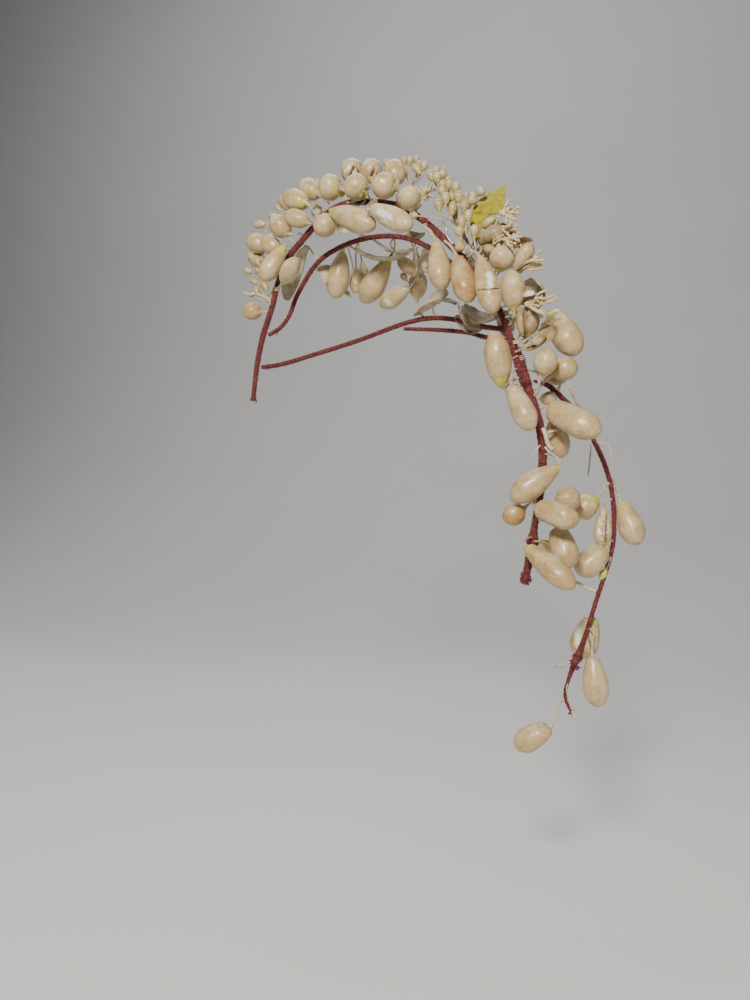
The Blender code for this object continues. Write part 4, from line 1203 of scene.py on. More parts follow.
# For each bunch: tip_x, tip_y, calyx_x, calyx_y, mm behind the arch, width in mm.
SMALL_BUDS = {
    "left": [(244, 271, 252.5, 271, 4, 4.0), (255, 268.5, 261, 272.5, 3, 3.4),
             (255.5, 255.5, 259.5, 266, 3, 3.4), (249, 253, 258, 264, 7, 5.0),
             (254, 225, 265.5, 224.5, 8, 4.4), (276, 205.5, 281, 211, 10, 3.0),
             (279, 287, 272.5, 292.5, 0, 3.8), (256, 286, 258, 296, 2, 3.4),
             (263, 281, 267, 291, 6, 4.4), (250, 279, 258, 283.5, 5, 3.6)],
    "crown": [(403.3, 156.5, 404.5, 166, 12, 3.6), (410.8, 155.5, 409.3, 166, 12, 3.5),
              (417.5, 155.5, 416, 164, 16, 3.7), (420.5, 160, 418.5, 169, 11, 3.4),
              (426, 161, 422, 171, 10, 4.0), (413.5, 165, 420.5, 173.5, 7, 4.0),
              (405, 168, 406.5, 175, 13, 3.0)],
    "top": [(429, 170.5, 434, 181, 9, 4.6), (436, 166.5, 437, 176, 11, 3.8),
            (436.3, 172.5, 438, 183, 6, 4.4), (443.5, 170.5, 441, 180, 9, 4.4),
            (443.5, 167, 444, 172, 10, 2.2), (449.5, 176, 446.5, 185, 9, 3.8),
            (442, 180, 443.5, 189, 5, 4.0), (450, 180.5, 448, 190, 3, 4.2),
            (456.5, 182.5, 455, 193, 4, 4.6), (441, 186, 444, 196.5, 2, 4.4),
            (451.5, 192, 452, 201, 3, 3.2), (459, 190, 458, 203, 0, 4.6),
            (445.5, 192.5, 446.5, 205, -1, 4.6), (437.5, 198.5, 440, 211, -2, 4.7),
            (453.5, 201, 451.5, 216.5, -2, 4.3), (464.5, 201, 464, 212, 0, 4.3),
            (468.5, 209.5, 468.5, 222, -3, 3.9), (461.5, 215.5, 462, 228, -4, 4.3),
            (458, 226, 461, 236.5, -5, 4.8), (474.5, 224.5, 474.5, 236.5, -4, 4.6),
            (456, 245, 464, 248.5, -7, 4.9), (475, 192.5, 470, 200, 3, 4.0),
            (476, 197.5, 468, 204, 1, 4.6), (484.5, 188, 477.5, 195.5, 4, 4.6),
            (464.5, 227.5, 466.5, 234.5, -2, 2.6), (466, 192.5, 467, 199, 5, 2.4)],
}
# Small buds on stems of their own: the same columns, then the stem's pixels and its wire.
LONE_BUDS = [
    (409, 214.5, 418, 215.8, -6, 3.6, [(424, 216.5, -6), (436, 218.5, -4), (443, 222, -1)],
     "arch_wire"),
    (385, 159.5, 390.5, 169, 14, 4.4, [(394, 180, 12), (397, 195, 6)], "arch_wire"),
    (313, 178.5, 311, 186, 14, 3.2, [(312, 196, 12)], "arch_wire"),
    (318.5, 178.5, 317, 186, 14, 3.2, [(318, 198, 10)], "arch_wire"),
    (481.5, 227.5, 495, 218, 2, 4.2, [(500, 224, 3), (498, 240, 6), (486, 262, 4)], "arch_wire"),
    (401, 273.5, 407, 280.5, 34, 3.6, [(412, 284, 34), (420, 276, 28)], "inner_wire"),
    (340, 197, 345, 189, 6, 3.0, [(346, 194, 6), (345, 204, 4)], "arch_wire"),
    (344, 290, 350, 296, 34, 3.0, [(354, 280, 32), (352, 262, 24)], "inner_wire"),
]
print("small buds:", {bunch: len(buds) for bunch, buds in SMALL_BUDS.items()}, "alone:", len(LONE_BUDS))

# %% Small buds
STEM_GIRTH = 0.42 * MM
FAN = 0.5 * MM              # how far stems of one bunch lie apart
BELOW_CALYX = 4             # pixels below its calyx where a stem may join the bunch's path


def small_bud_lines():
    """Each small bud's stem, from its calyx to its wire, with its tip's aim and size."""
    chance = np.random.default_rng(7)
    for bunch, buds in SMALL_BUDS.items():
        wire, tie, path = BUNCHES[bunch]
        for tip_x, tip_y, calyx_x, calyx_y, behind, width in buds:
            yield (sighted(tip_x, tip_y, behind), sighted(calyx_x, calyx_y, behind), width, wire, tie,
                   [sighted(x, y, b) + chance.normal(0, FAN, 3) for x, y, b in path
                    if y > calyx_y + BELOW_CALYX])
    for tip_x, tip_y, calyx_x, calyx_y, behind, width, path, wire in LONE_BUDS:
        yield (sighted(tip_x, tip_y, behind), sighted(calyx_x, calyx_y, behind), width, wire,
               path[-1][:2], [sighted(*place) for place in path])


def strand_piece(name, lines, tip_shape, material, sides=6, replaced=()):
    """One piece of strands: rows of the line, and the aim and size of the shape on its first point."""
    routes, tips, aims, sizes = [], [], [], []
    for rows, aim, size in lines:
        routes.append(rows)
        tips += [float(size is not None)] + [0.0] * (len(rows) - 1)
        aims += [list(aim)] * len(rows)
        sizes += [list(size if size is not None else (0, 0, 0))] * len(rows)
    mesh = grown(name, line_mesh(name + "_line", routes, {
        "tip": tips, "aim": np.array(aims), "size": np.array(sizes)}), STRANDS,
        {"Sides": sides, "Tip": tip_shape, "Material": material})
    return finish_piece(name, mesh, replaced)


def small_bud_strands():
    """Each small bud's stem as a row for the piece."""
    for tip, calyx, width, wire, tie, path in small_bud_lines():
        aim = unit(tip - calyx)
        points = [calyx, calyx - aim * 1.5 * MM, *path]
        points.append(bound_to(points[-1], wire, tie))
        rows = smooth_rows(np.column_stack([points, np.full(len(points), STEM_GIRTH)]), 0.9 * MM)
        length = np.linalg.norm(tip - calyx)
        yield rows, aim, (width * MM, width * MM, length)


sprigs = strand_piece("small_bud_sprigs", small_bud_strands(), SMALL_BUD, WAX, 7,
                      ["sprig_left", "sprig_crown", "sprig_top"])
print(sprigs.name, "has", len(sprigs.data.polygons), "faces")

# %% [markdown]
# Loose ends tell that this was made by hand: cut stubs of stem, bare silvery wires that bind the
# bunches, a thread wound round the near stem, and torn strips of paper at each knot. Each row gives
# what it's made of, its girth, its line in the photograph from the free end, and its wire's place.

# %% Where the loose ends are
LOOSE_ENDS = [
    ("bare", 0.5, [(443, 221, -2), (446, 228, -3), (447.5, 237, -2)], "arch_wire", (452, 246)),
    ("bare", 0.45, [(473, 232, -4), (475, 244, -5), (477.5, 257, -3)], "arch_wire", (480, 277)),
    ("bare", 0.55, [(471, 249, -5), (473, 256, -5), (474.5, 264, -3)], "arch_wire", (477, 272)),
    ("bare", 0.35, [(464, 240, -5), (466.5, 248, -6), (470, 256, -4)], "arch_wire", (474, 268)),
    ("bare", 0.35, [(478, 238, 0), (476, 248, -2), (475, 260, -1)], "arch_wire", (475, 270)),
    ("pale", 0.85, [(244, 292, 0), (250, 294.5, 1), (257, 294, 2)], "arch_wire", (273, 301)),
    ("pale", 0.5, [(249, 296, 2), (257, 297, 3)], "arch_wire", (272, 303)),
    ("pale", 0.7, [(345, 187, 4), (345, 194, 4)], "arch_wire", (345, 204)),
    ("pale", 0.6, [(361, 199, -4), (354, 201, -3)], "arch_wire", (350, 203)),
    ("pale", 1.0, [(553, 450, -3), (548, 444, -2), (545.5, 434, -2)], "near_stem", (542, 428)),
    ("pale", 0.8, [(569, 387, 9), (574, 396, 13), (579, 407, 19)], "trail_wire", (576, 412)),
    ("pale", 0.45, [(560, 467, -6), (557, 458, -4), (549, 452, -2)], "near_stem", (543, 448)),
    ("pale", 0.35, [(532, 456, -4), (538, 448, -3)], "near_stem", (543, 444)),
    ("pale", 0.35, [(588, 476, 26), (590, 458, 27), (591, 444, 27)], "trail_wire", (591, 436)),
    ("pale", 0.3, [(612, 463, 24), (609, 446, 25), (601, 443, 27)], "trail_wire", (594, 442)),
    ("pale", 0.4, [(560, 371, 8), (561, 380, 10), (558, 388, 13)], "trail_wire", (553, 391)),
    ("pale", 0.4, [(565, 376, 9), (561, 384, 11)], "trail_wire", (555, 393)),
    ("pale", 0.8, [(576, 582, 26), (588, 588, 27)], "trail_wire", (599, 592)),
    ("bare", 0.4, [(554, 666, 17), (563, 665, 19)], "trail_wire", (575, 662)),
    ("bare", 0.3, [(571, 708, 16), (568, 698, 16.5), (566.5, 689, 17)], "trail_wire", (567, 684)),
    ("pale", 0.7, [(575.5, 721, 15.5), (573.5, 716, 16)], "trail_wire", (572, 712)),
    ("pale", 0.35, [(579, 720, 15), (576, 717, 15.5)], "trail_wire", (572, 713)),
    ("pale", 0.3, [(577, 714, 17), (575, 714, 16.5)], "trail_wire", (571, 712)),
    ("pale", 0.3, [(512, 359, -2), (517, 356, 0)], "near_stem", (523, 355)),
    ("pale", 0.6, [(557, 430, 4), (549, 432, 2)], "near_stem", (541, 434)),
    ("pale", 0.5, [(529, 345, -2), (524, 346, 0)], "near_stem", (520, 346)),
]
# Where paper is torn at a knot: wire, pixel, how many strips, how long they are in mm.
KNOTS = [
    ("near_stem", (533, 538), 12, 0.9), ("near_stem", (532, 543), 12, 0.9),
    ("near_stem", (526, 578), 22, 2.0), ("near_stem", (525, 583), 14, 1.8),
    ("trail_wire", (577, 656), 16, 2.0), ("trail_wire", (573, 664), 18, 2.4),
    ("trail_wire", (571, 712), 6, 1.6), ("arch_wire", (253, 400), 7, 1.8),
    ("inner_wire", (277, 333), 6, 2.2), ("back_wire_upper", (268, 366), 5, 2.0),
]
print("placed", len(LOOSE_ENDS), "loose ends and", len(KNOTS), "torn places")

# %% Loose ends
STRIP_GIRTH = 0.2 * MM
THREAD_TURNS, THREAD_POINTS, THREAD_PITCH = 3, 60, 0.9 * MM
THREAD_PLACE = ("near_stem", 523, 355)
NO_TIP = ((0, 0, 1), None)


def plain_rows(points, girth):
    """A smooth line of one girth."""
    return smooth_rows(np.column_stack([points, np.full(len(points), girth)]), 0.8 * MM)


def loose_end_lines(kind):
    """The loose ends made of one thing, each down to its wire."""
    for made_of, girth, path, wire, tie in LOOSE_ENDS:
        if made_of == kind:
            points = [sighted(*place) for place in path]
            yield plain_rows(points + [bound_to(points[-1], wire, tie)], girth * MM), *NO_TIP


def knot_lines():
    """Torn strips that lie round a wire and stand off it."""
    chance = np.random.default_rng(23)
    for wire, tie, count, length in KNOTS:
        centre, along, girth = on_wire(wire, *tie)
        for _ in range(count):
            out = chance.normal(0, 1, 3)
            out = unit(out - along * (out @ along))
            root = centre + out * girth * 0.8
            turn = unit(np.cross(along, out)) * chance.normal(0, 1) + along * chance.normal(0, 1)
            tip = root + (0.45 * out + turn) * length * MM * chance.uniform(0.35, 0.8)
            middle = (root + tip) / 2 + out * 0.9 * MM
            yield plain_rows([tip, middle, root], STRIP_GIRTH * chance.uniform(0.7, 1.5)), *NO_TIP


def thread_line():
    """A pale thread wound round the near stem."""
    centre, along, girth = on_wire(*THREAD_PLACE)
    side = unit(np.cross(along, [0.2, 0.9, 0.1]))
    lift = np.cross(along, side)
    turns = np.linspace(0, 2 * math.pi * THREAD_TURNS, THREAD_POINTS)[:, None]
    reach = girth + 0.5 * MM
    points = (centre + (side * np.cos(turns) + lift * np.sin(turns)) * reach
              + along * THREAD_PITCH * turns / (2 * math.pi))
    return plain_rows(points, 0.22 * MM), *NO_TIP


pieces = [
    strand_piece("bare_wires", loose_end_lines("bare"), SMALL_BUD, BARE_WIRE),
    strand_piece("stem_stubs", [*loose_end_lines("pale"), thread_line()], SMALL_BUD, PALE_PAPER,
                 8),
    strand_piece("torn_strips", knot_lines(), SMALL_BUD, CRIMSON, 5),
]
print("loose ends:", {piece.name: len(piece.data.polygons) for piece in pieces})

# %% [markdown]
# Where a blossom opened, its stamens are dry straws, stiff and a little bent, each with a blunt
# head. They fan from one foot. The rows give the foot's pixel and each visible head's, and a few more
# are grown between them so that the brush is full from every side.

# %% Stamens
# foot, then the heads: pixels and mm behind the arch
BRUSHES = [
    ((502, 213, -3), [(517.4, 208, -4), (516.5, 211, 0), (517, 213.5, -6), (515, 219, -6),
                      (511, 222.5, -7), (512.5, 216, -4), (514, 217, 1), (508.5, 201.5, -2),
                      (509.5, 205, 2), (506, 222, -7), (512, 207.5, 4)]),
    ((491, 247, -1), [(494, 240.5, -6), (497, 238.5, -6), (499.5, 237, -6), (502, 236, -5),
                      (498, 241, -6), (501, 239.5, -6)]),
    ((503, 229, -4), [(516.5, 225.5, -4), (514.5, 229.5, -6), (509, 226, -7), (512, 231, -2)]),
    ((506, 241, -6), [(518.5, 233.5, -6), (519, 236.5, -8), (517, 240, -9), (515, 243.5, -10),
                      (511.5, 246, -11), (514, 234, -4), (512, 238, -10)]),
    ((517, 270, 0), [(539, 251.5, -2), (537, 255.5, 2), (541.5, 260, -4), (540, 264, 0),
                      (541.5, 268.5, -3), (536, 258.5, 4), (533, 250.5, 3), (538.5, 257, -5)]),
    ((528, 303, -4), [(555.5, 299, -4), (552, 296.5, 0), (545.5, 290.5, 0), (542, 296, 4),
                      (549.5, 313.5, -8), (546, 312, -10), (541.5, 316.5, -9), (543.5, 314, -12),
                      (538, 306, -8), (551, 302.5, 0), (540, 293, 2), (536, 299, -9)]),
    ((425, 198, 3), [(421, 187, 2), (426, 184.5, 4), (431, 187, 0), (434.5, 190, 2), (430, 195, -2),
                     (433.5, 197, 0), (419.5, 190, 5), (427, 190, -2)]),
]
STAMEN_GIRTH = 0.66 * MM
HEAD_SIZE = (1.35 * MM, 1.3 * MM, 1.0 * MM)
BETWEEN = 2                 # how many more stamens grow for each two heads that show


def stamen_strands():
    """Each stamen from its head to its foot."""
    chance = np.random.default_rng(11)
    for foot, heads in BRUSHES:
        foot = sighted(*foot)
        ends = [sighted(*head) for head in heads]
        middle = np.mean(ends, axis=0)
        for _ in range(BETWEEN * len(heads) // 2):
            spot = middle + chance.normal(0, 1.5 * MM, 3)
            ends.append(foot + (spot - foot) * chance.uniform(0.55, 0.95))
        for end in ends:
            span = end - foot
            bow = np.cross(span, chance.normal(0, 1, 3)) * 0.06
            root = foot + chance.normal(0, 0.8 * MM, 3)
            girth = STAMEN_GIRTH * chance.uniform(0.75, 1.25)
            rows = smooth_rows([[*end, girth], [*(foot + span * 0.55 + bow), girth * 0.85],
                                [*root, girth * 0.9]], 0.8 * MM)
            aim = unit(rows[0, :3] - rows[1, :3])
            yield rows, aim, np.array(HEAD_SIZE) * chance.uniform(0.75, 1.25)


stamens = strand_piece("stamen_brushes", stamen_strands(), ANTHER, STRAW, 6,
                       ["stamens_upper", "stamens_lower"])
print(stamens.name, "has", len(stamens.data.polygons), "faces")

# %% [markdown]
# Petals and leaves are sheets with a little thickness. Each is a grid of points bent by a few plain
# rules: how its width swells from foot to tip, how deep its middle is cupped, and how far its tip
# curls over. The grid then gets a back and a rim, so it's a closed body.

# %% Sheets with thickness


def thick_sheet(grid, thickness):
    """A closed body from a grid of points: points, faces, and how near each point is to the rim."""
    rows, columns = grid.shape[:2]
    along, across = np.gradient(grid, axis=0), np.gradient(grid, axis=1)
    normal = unit(np.cross(along, across) + NEAR * np.array([1, 1, 1]))
    share_u = np.abs(np.linspace(-1, 1, rows))[:, None]
    share_v = np.abs(np.linspace(-1, 1, columns))[None, :]
    rim = np.maximum(share_u * np.ones_like(share_v), share_v * np.ones_like(share_u))
    half = thickness / 2 * (1 - 0.6 * ease(rim, 0.8, 1.0))[..., None]
    points = np.vstack([(grid + normal * half).reshape(-1, 3), (grid - normal * half).reshape(-1, 3)])
    back = rows * columns
    faces = []
    for row in range(rows - 1):
        for column in range(columns - 1):
            a = row * columns + column
            quad = (a, a + columns, a + columns + 1, a + 1)
            faces += [quad, tuple(index + back for index in reversed(quad))]
    border = ([(0, c) for c in range(columns)] + [(r, columns - 1) for r in range(1, rows)]
              + [(rows - 1, c) for c in range(columns - 2, -1, -1)]
              + [(r, 0) for r in range(rows - 2, 0, -1)])
    loop = [row * columns + column for row, column in border]
    faces += [(a, b, b + back, a + back) for a, b in zip(loop, loop[1:] + loop[:1])]
    return points, faces, np.tile(rim.ravel(), 2)


PETAL_SWELL = [(0.0, 0.3), (0.15, 0.55), (0.4, 0.92), (0.6, 1.0), (0.8, 0.88), (0.93, 0.6), (1.0, 0.28)]
PETAL_ROWS = 18
PETAL_COLUMNS = 13


def petal_part(foot, tip, facing, width, cup, curl, thickness, seed):
    """One petal whose hollow side faces a point. Sizes in metres."""
    span = tip - foot
    length = np.linalg.norm(span)
    side = unit(np.cross(span, facing - (foot + tip) / 2))
    inner = unit(np.cross(side, span))
    u = np.linspace(0, 1, PETAL_ROWS)[:, None]
    v = np.linspace(-1, 1, PETAL_COLUMNS)[None, :]
    swell = np.interp(u, *np.array(PETAL_SWELL).T) * width / 2
    ripple = 0.06 * width * np.sin(7 * u + seed) * v ** 2
    depth = -cup * (swell / (width / 2)) * (1 - v ** 2) + curl * u ** 3 + ripple
    grid = (foot + span * u[..., None] + side * (swell * v)[..., None] + inner * depth[..., None]
            - inner * (0.12 * length * np.sin(np.pi * u))[..., None])
    flat = grid.reshape(-1, 3)
    flat += rough(flat, 420, seed)[:, None] * inner * 0.05 * width
    points, faces, rim = thick_sheet(flat.reshape(grid.shape), thickness)
    return points, faces, {"edge": 0.5 * ease(rim, 0.86, 1.0)}


print("a petal has", 2 * PETAL_ROWS * PETAL_COLUMNS, "points")

# %% [markdown]
# Round some calyxes the wax has broken off and left a frill of torn flakes. A flake is a very small
# petal, so the petal's own rule makes it, and a fixed seed turns and sizes each one differently.

# %% Torn collars
# Where wax has broken away round a calyx: the bud, how many flakes stand there and how long they are.
COLLARS = {
    "bud_front_dented": (11, 3.6), "bud_crown_frayed": (8, 2.6), "bud_hang_second": (6, 1.8),
    "bud_crown_large": (4, 1.6), "bud_stem_front": (5, 1.8), "bud_low_cross": (4, 1.6),
    "bud_crown_split": (4, 1.8), "bud_side_large": (4, 1.6), "bud_top_left": (4, 1.6),
    "bud_left_upper": (4, 1.6), "bud_side_low": (5, 1.8), "bud_trail_split": (5, 2.4),
}
FLAKE_THICKNESS = 0.35 * MM
FLAKE_SEAT = 1.4 * MM          # how far before the calyx a flake is rooted
FLAKE_FACING = 6 * MM          # how far before the calyx lies the point that its hollow faces


def collar_parts():
    """The flakes round each listed calyx."""
    chance = np.random.default_rng(31)
    for name, (count, length) in COLLARS.items():
        rings = from_tip(BUDS[name])
        calyx, before, reach = rings[BODY_RINGS - 1, :3], rings[BODY_RINGS - 2, :3], rings[:, 3].max()
        back = unit(calyx - before)
        side = unit(np.cross(back, [0.3, 0.5, 0.8]))
        lift = np.cross(back, side)
        for index in range(count):
            turn = 2 * math.pi * (index + chance.uniform(-0.3, 0.3)) / count
            out = side * math.cos(turn) + lift * math.sin(turn)
            root = calyx - back * FLAKE_SEAT + out * reach * 0.3
            lean = out * chance.uniform(0.5, 1.0) + back * chance.uniform(0.1, 0.8)
            tip = root + lean * (length * MM * chance.uniform(0.6, 1.1))
            width = length * MM * chance.uniform(0.6, 1.0)
            yield petal_part(root, tip, calyx - back * FLAKE_FACING, width, 0.3 * MM, 0.5 * MM,
                             FLAKE_THICKNESS, 5.0 + index)


collars = piece_of(merged(list(collar_parts())), "torn_collars", PALE_PAPER)
print("torn collars have", len(collars.data.polygons), "faces")

# %% [markdown]
# Two blossoms are open. Five petals close round each as a cup, and one gap between them faces the
# camera, so that the stamens' feet show. The other petals were pressed flat or torn loose. No rule
# would find their places, so each is set from the photograph by its foot, its tip and the side that
# it turns its hollow to.

# %% Where the petals are
# Each cup: foot, mouth and mouth's radius in mm. Five petals close round each.
CUPS = {
    "blossom_upper": ((489, 250, 3), (499, 234, 0), 4.9),
    "blossom_lower": ((526, 338, 4), (530, 309, 1), 5.0),
}
PETALS_IN_A_CUP = 5
# Other petals: foot, tip, the point that the hollow side faces, then width, cup and curl in mm.
PETALS = [
    ((480, 243, -2), (504, 228, -4), (495, 246, 6), 7.6, 2.6, 0.6),
    ((483, 247, -3), (498, 251, -4), (491, 240, 6), 5.4, 2.2, 0.4),
    ((480, 240, 2), (489, 256, 0), (493, 244, 4), 6.0, 1.6, 0.4),
    ((504, 234, 0), (511, 244, -2), (500, 241, 4), 4.6, 0.8, 0.5),
    ((492, 238, 2), (504, 222, 0), (505, 232, 0), 6.0, 1.2, 1.0),
    ((487, 238, 5), (496, 220, 4), (503, 228, 2), 6.0, 1.4, 1.2),
    ((500, 250, 3), (512, 230, 3), (498, 236, 0), 6.5, 1.4, 0.6),
    ((514, 248, -6), (530, 236.5, -5), (524, 244, -6), 4.6, 1.2, 2.6),
    ((520, 249, -4), (524, 239, -4), (528, 242, -6), 3.2, 0.8, 0.6),
    ((523, 292, -3), (535, 295, -6), (532, 302, -4), 4.6, 0.6, 0.6),
    ((520, 302, 4), (541, 304, 6), (534, 312, 0), 8.0, 1.4, 1.0),
    ((523, 337, -1), (521, 308, -3), (531, 322, 4), 4.4, 1.6, 0.6),
    ((530, 338, -1), (533, 308, -4), (532, 322, 8), 6.0, 2.2, 0.8),
    ((522, 348, -3), (546, 336, -6), (532, 333, -8), 6.4, 1.4, 0.8),
    ((531, 343, -5), (557, 327, -7), (545, 328, -11), 7.0, 1.5, -0.4),
    ((538, 332, -4), (554, 327, -4), (546, 336, -7), 4.6, 0.8, 0.4),
    ((540, 336, 3), (552, 320, 4), (545, 326, -4), 5.6, 1.0, 0.5),
    ((539, 541, -3), (549, 557, -4), (538, 552, -9), 5.0, 1.2, 0.6),
    ((541, 541, 0), (554, 549, 0), (546, 553, -6), 4.4, 1.0, 0.5),
]
# A torn one whose broken side shows white.
WHITE_PETAL = ((523, 296, -6), (534, 293, -8), (531, 302, 2), 2.6, 0.5, 0.3)
PETAL_THICKNESS = 0.6 * MM
print("placed", len(PETALS) + 1, "petals round", len(CUPS), "cups")

# %% Blossoms
GREEN_TO, GREEN_GONE = 2.2 * MM, 4.2 * MM      # how far from its foot a cup is green


def petal_from(row, index, thickness, seed_step, spread=1.0):
    """A petal from its row of places and millimetres."""
    foot, tip, facing, width, cup, curl = row
    return petal_part(sighted(*foot), sighted(*tip), sighted(*facing), spread * width * MM, cup * MM,
                      curl * MM, thickness, seed_step * index)


def cup_parts(foot, mouth, radius):
    """The petals that close round one cup."""
    foot, mouth, radius = sighted(*foot), sighted(*mouth), radius * MM
    axis = unit(mouth - foot)
    side = unit(np.cross(axis, [0.2, 0.3, 0.9]))
    lift = np.cross(axis, side)
    seam = math.atan2(-AHEAD @ lift, -AHEAD @ side)
    for turn in range(PETALS_IN_A_CUP):
        angle = seam + 2 * math.pi * (turn + 0.5) / PETALS_IN_A_CUP
        out = side * math.cos(angle) + lift * math.sin(angle)
        base = foot + out * radius * 0.15
        tip = mouth + out * radius * 0.62 + axis * radius * 0.12 * math.sin(2.3 * turn)
        yield petal_part(base, tip, (foot + mouth) / 2, radius * 1.25, radius * 0.34, radius * 0.28,
                         PETAL_THICKNESS, 3.0 + turn)


def make_blossoms():
    """The two cups, green at the foot, and all other petals as one piece."""
    for name, cup in CUPS.items():
        points, faces, marks = merged(list(cup_parts(*cup)))
        green = 1.0 - ease(np.linalg.norm(points - sighted(*cup[0]), axis=1), GREEN_TO, GREEN_GONE)
        marks["lime"] = 0.8 * green * (rough(points, 600, 8) > 0.05)
        piece_of((points, faces, marks), "petals_" + name, PETAL_WAX, [name])
    loose = [petal_from(row, index, PETAL_THICKNESS, 1.7)
             for index, row in enumerate(PETALS + [WHITE_PETAL])]
    loose[-1][2]["chip"] = 0.75 * np.ones(len(loose[-1][0]))
    return piece_of(merged(loose), "loose_petals", PETAL_WAX)


print("made", len(PETALS), "loose petals:", make_blossoms().name)

# %% [markdown]
# One leaf is of green paper, folded along its midrib. Its two edges are traced from the photograph,
# and the sheet between them is folded and creased. The pale crumpled scraps inside the arch are
# nearly petals, so the petal's rule makes them too. Everything that has no stem yet gets one last,
# from its foot to the nearest wire, so that nothing hangs in the air.

# %% Where the leaves are
# The green leaf's two edges as the photograph shows them, from foot to tip, each with its mm behind.
LEAF_EDGES = [
    ((474.5, 252, 3), (478, 252, 3)), ((472, 241, 4), (480, 241, 4)), ((470.5, 230, 5), (481, 231, 5)),
    ((470.5, 220, 5), (484.5, 220.5, 5.5)), ((471, 214.5, 5), (491, 215, 5)),
    ((472.5, 210.5, 4), (503, 213.8, 3.4)), ((476, 203, 6.5), (504.3, 208, 5)),
    ((484, 196.5, 9.5), (504.6, 200, 8)), ((494, 190.5, 12), (505, 193, 11)),
    ((504, 186.3, 13), (505.2, 187.2, 13)),
]
# A crumpled pale leaf: foot, tip, the point that the hollow side faces, width, cup and curl in mm.
PALE_LEAVES = [
    ((350, 246, 15), (409, 254, 22), (380, 238, 18), 7.5, 1.6, 0.5),
    ((374, 240, 15), (418, 249, 20), (396, 235, 16), 7.0, 1.4, 0.6),
    ((426, 249, 14), (428, 272, 22), (436, 262, 16), 7.5, 1.6, 0.8),
    ((414, 249, 16), (424, 270, 24), (428, 256, 18), 5.0, 1.2, 0.6),
    ((458, 304, 16), (416, 315, 30), (440, 320, 24), 8.0, 1.8, 1.0),
    ((430, 299, 22), (448, 291, 20), (438, 298, 16), 4.0, 0.8, 0.4),
    ((462, 306, 14), (500, 318, 10), (480, 300, 8), 9.0, 1.4, 0.6),
    ((492, 308, 6), (512, 336, 6), (498, 326, 2), 7.0, 1.4, 0.6),
    ((455, 316, 22), (482, 330, 18), (468, 318, 14), 6.0, 1.2, 0.6),
    ((408, 232, 12), (424, 236, 10), (416, 226, 6), 4.6, 0.8, 0.4),
    ((308, 246, 12), (286, 300, 16), (308, 282, 10), 8.0, 1.6, 1.0),
    ((318, 268, 18), (338, 276, 22), (328, 262, 14), 9.0, 1.8, 0.8),
    ((334, 222, 10), (352, 230, 12), (343, 222, 4), 5.5, 0.8, 0.4),
    ((352, 204, -2), (367, 199, -3), (358, 194, -7), 2.6, 0.5, 0.4),
    ((460, 311, 10), (479, 328, 9), (474, 314, 2), 4.2, 0.8, 0.6),
    ((521, 286, 4), (546, 293, 2), (532, 300, 0), 8.0, 2.6, 1.5),
    ((312, 213, 5), (322, 206, 3), (319, 214, -3), 3.4, 0.9, 1.4),
    ((313, 207, 6), (323, 213, 5), (317, 203, -2), 3.0, 1.0, 1.2),
    ((318, 215, 6), (317, 204, 3), (311, 209, -2), 2.8, 0.8, 1.0),
]
print("placed", len(PALE_LEAVES), "pale leaves")

# %% Leaves
LEAF_THICKNESS = 0.4 * MM
LEAF_SPREAD = 1.4              # how much wider a pale leaf is cut than it shows, crumpled
SHEET_ROWS = 40
SHEET_COLUMNS = 17
LEAF_MIDDLE = (490, 205)
LEAF_FOLD, LEAF_CREASE = 0.05, 0.02       # depths as shares of its width
CARRYING_GIRTH = 0.45 * MM


def leaf_part():
    """The green leaf, folded along its midrib and creased."""
    left = smooth_rows([[*sighted(*a), 0] for a, b in LEAF_EDGES], 0.9 * MM)[:, :3]
    right = smooth_rows([[*sighted(*b), 0] for a, b in LEAF_EDGES], 0.9 * MM)[:, :3]
    share = np.linspace(0, 1, SHEET_ROWS)
    left, right = [np.stack([np.interp(share, np.linspace(0, 1, len(side)), column)
                             for column in side.T], axis=1) for side in (left, right)]
    v = np.linspace(0, 1, SHEET_COLUMNS)[None, :, None]
    grid = left[:, None] * (1 - v) + right[:, None] * v
    wide = np.linalg.norm(right - left, axis=1)[:, None]
    away = unit(sighted(*LEAF_MIDDLE, 20) - sighted(*LEAF_MIDDLE, 0))
    across = v[..., 0]
    veins = np.sin(26 * (share[:, None] + 0.35 * np.abs(across - 0.5)))
    fold = wide * (LEAF_FOLD * (1 - np.abs(2 * across - 1)) + LEAF_CREASE * veins)
    grid = grid + away * fold[..., None]
    points, faces, rim = thick_sheet(grid, LEAF_THICKNESS)
    return points, faces, {"edge": 0.25 * ease(rim, 0.94, 1.0)}


def make_leaves():
    """The green leaf, and all the pale ones as one piece."""
    piece_of(leaf_part(), "green_leaf", LEAF_PAPER, ["leaf"])
    parts = [petal_from(row, index, LEAF_THICKNESS, 2.3, LEAF_SPREAD)
             for index, row in enumerate(PALE_LEAVES)]
    return piece_of(merged(parts), "pale_leaves", INNER_LEAF, ["inner_leaf"])


def carrying_lines():
    """A stem from the foot of everything that has none to the nearest wire."""
    feet = [row[0] for row in PETALS + PALE_LEAVES + BRUSHES] + [cup[0] for cup in CUPS.values()]
    for foot in feet:
        start = sighted(*foot)
        end = nearest_on_wires(start)
        bow = np.array([0.0, 0.06, -0.05]) * np.linalg.norm(end - start)
        yield plain_rows([start, (start + end) / 2 + bow, end], CARRYING_GIRTH), *NO_TIP


print("made", len(PALE_LEAVES), "pale leaves:", make_leaves().name)
strand_piece("carrying_stems", carrying_lines(), SMALL_BUD, PALE_PAPER, 7)
bpy.data.objects.remove(SMALL_BUD)
bpy.data.objects.remove(ANTHER)

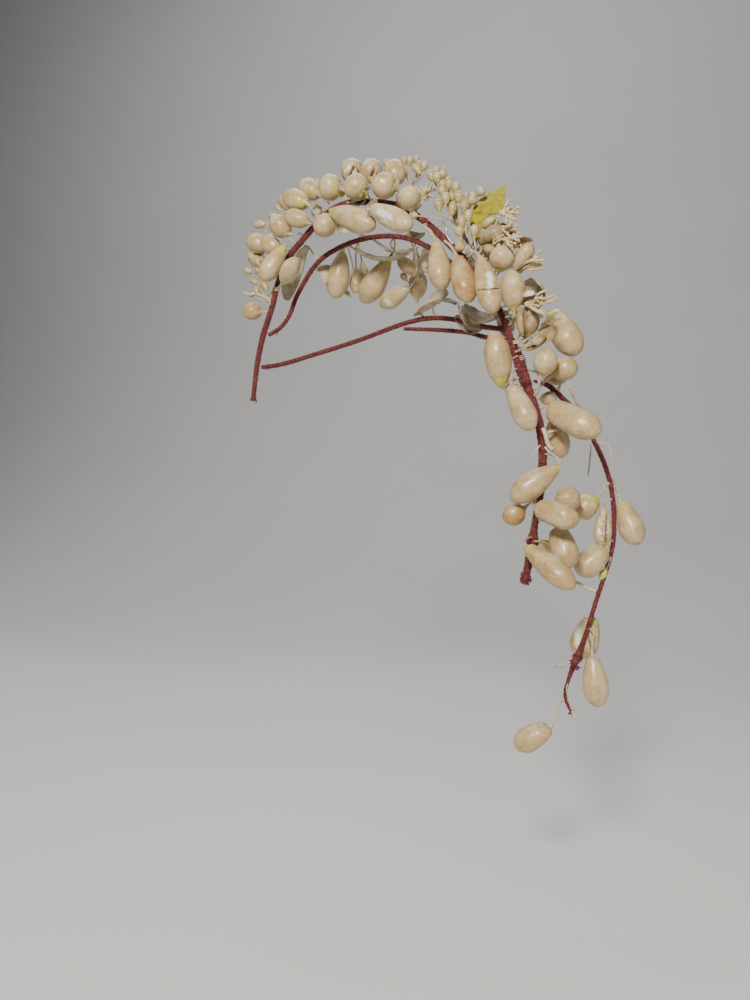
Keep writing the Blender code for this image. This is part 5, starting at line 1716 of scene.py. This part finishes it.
# %% [markdown]
# The stage is a plain pale sheet that bends up behind the object. Four soft lamps stand as in a
# studio: a small warm one at the upper left throws the crisp shadows of the photograph, a broad cool
# one fills them from the right, one behind edges the wax, and one lights the backdrop.

# %% Stage and light
FLOOR_LEVEL = -0.292
FLOOR_HALF_WIDTH, FLOOR_FRONT, WALL_TOP = 8.0, -8.0, 6.0
BEND_START, BEND = 0.7, 1.6
MIDDLE = np.array([0.03, 0.0, -0.02])


def make_floor():
    """A pale sweep of floor that rises behind the object."""
    turn = np.linspace(0, math.pi / 2, 40)
    arc = [(BEND_START + BEND * math.sin(a), BEND * (1 - math.cos(a))) for a in turn]
    profile = [(FLOOR_FRONT, 0.0), *arc, (BEND_START + BEND, WALL_TOP)]
    edges = (-FLOOR_HALF_WIDTH, FLOOR_HALF_WIDTH)
    points = [(x, y, FLOOR_LEVEL + z) for y, z in profile for x in edges]
    faces = [(2 * i, 2 * i + 1, 2 * i + 3, 2 * i + 2) for i in range(len(profile) - 1)]
    mesh = bpy.data.meshes.new("studio_floor")
    mesh.from_pydata(points, [], faces)
    mesh.shade_smooth()
    material, tree, shader = finish_material("studio_paper")
    shade = blended(tree, grain(tree, 3, 2), tint(206, 205, 202), tint(214, 213, 210))
    tree.links.new(shade, shader.inputs["Base Color"])
    shader.inputs["Roughness"].default_value = 0.9
    mesh.materials.append(material)
    floor = bpy.data.objects.new("studio_floor", mesh)
    bpy.context.scene.collection.objects.link(floor)


def add_light(name, place, aim, size, power, colour=(1, 1, 1)):
    """A square soft light that faces a point."""
    light = bpy.data.lights.new(name, "AREA")
    light.shape = "SQUARE"
    light.size = size
    light.energy = power
    light.color = colour
    lamp = bpy.data.objects.new(name, light)
    lamp.location = place
    lamp.rotation_euler = (Vector(aim) - Vector(place)).to_track_quat("-Z", "Y").to_euler()
    bpy.context.scene.collection.objects.link(lamp)


make_floor()
add_light("key_light", MIDDLE - AHEAD * 0.75 - RIGHT * 0.2 + UPWARD * 0.34, MIDDLE, 0.14, 12.2,
          (1.0, 0.97, 0.92))
add_light("fill_light", MIDDLE - AHEAD * 0.4 + RIGHT * 0.7, MIDDLE, 0.6, 1.2, (0.95, 0.97, 1.0))
add_light("back_light", MIDDLE + AHEAD * 0.6 + UPWARD * 0.6, MIDDLE, 0.5, 2)
add_light("backdrop_light", MIDDLE + AHEAD * 0.8 - RIGHT * 0.7 + UPWARD * 1.7,
          MIDDLE + AHEAD * 2.3 - RIGHT * 0.7 + UPWARD * 0.5, 2.6, 38)
world = bpy.data.worlds.new("studio")
world.use_nodes = True
set_inputs(world.node_tree.nodes["Background"], {"Color": tint(210, 212, 216), "Strength": 0.1})
bpy.context.scene.world = world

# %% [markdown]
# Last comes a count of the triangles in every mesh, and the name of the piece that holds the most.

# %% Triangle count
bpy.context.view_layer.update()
triangles = {piece.name: sum(len(face.vertices) - 2 for face in piece.data.polygons)
             for piece in bpy.data.objects if piece.type == "MESH"}
print("triangles in all:", sum(triangles.values()), "most in:", max(triangles, key=triangles.get))
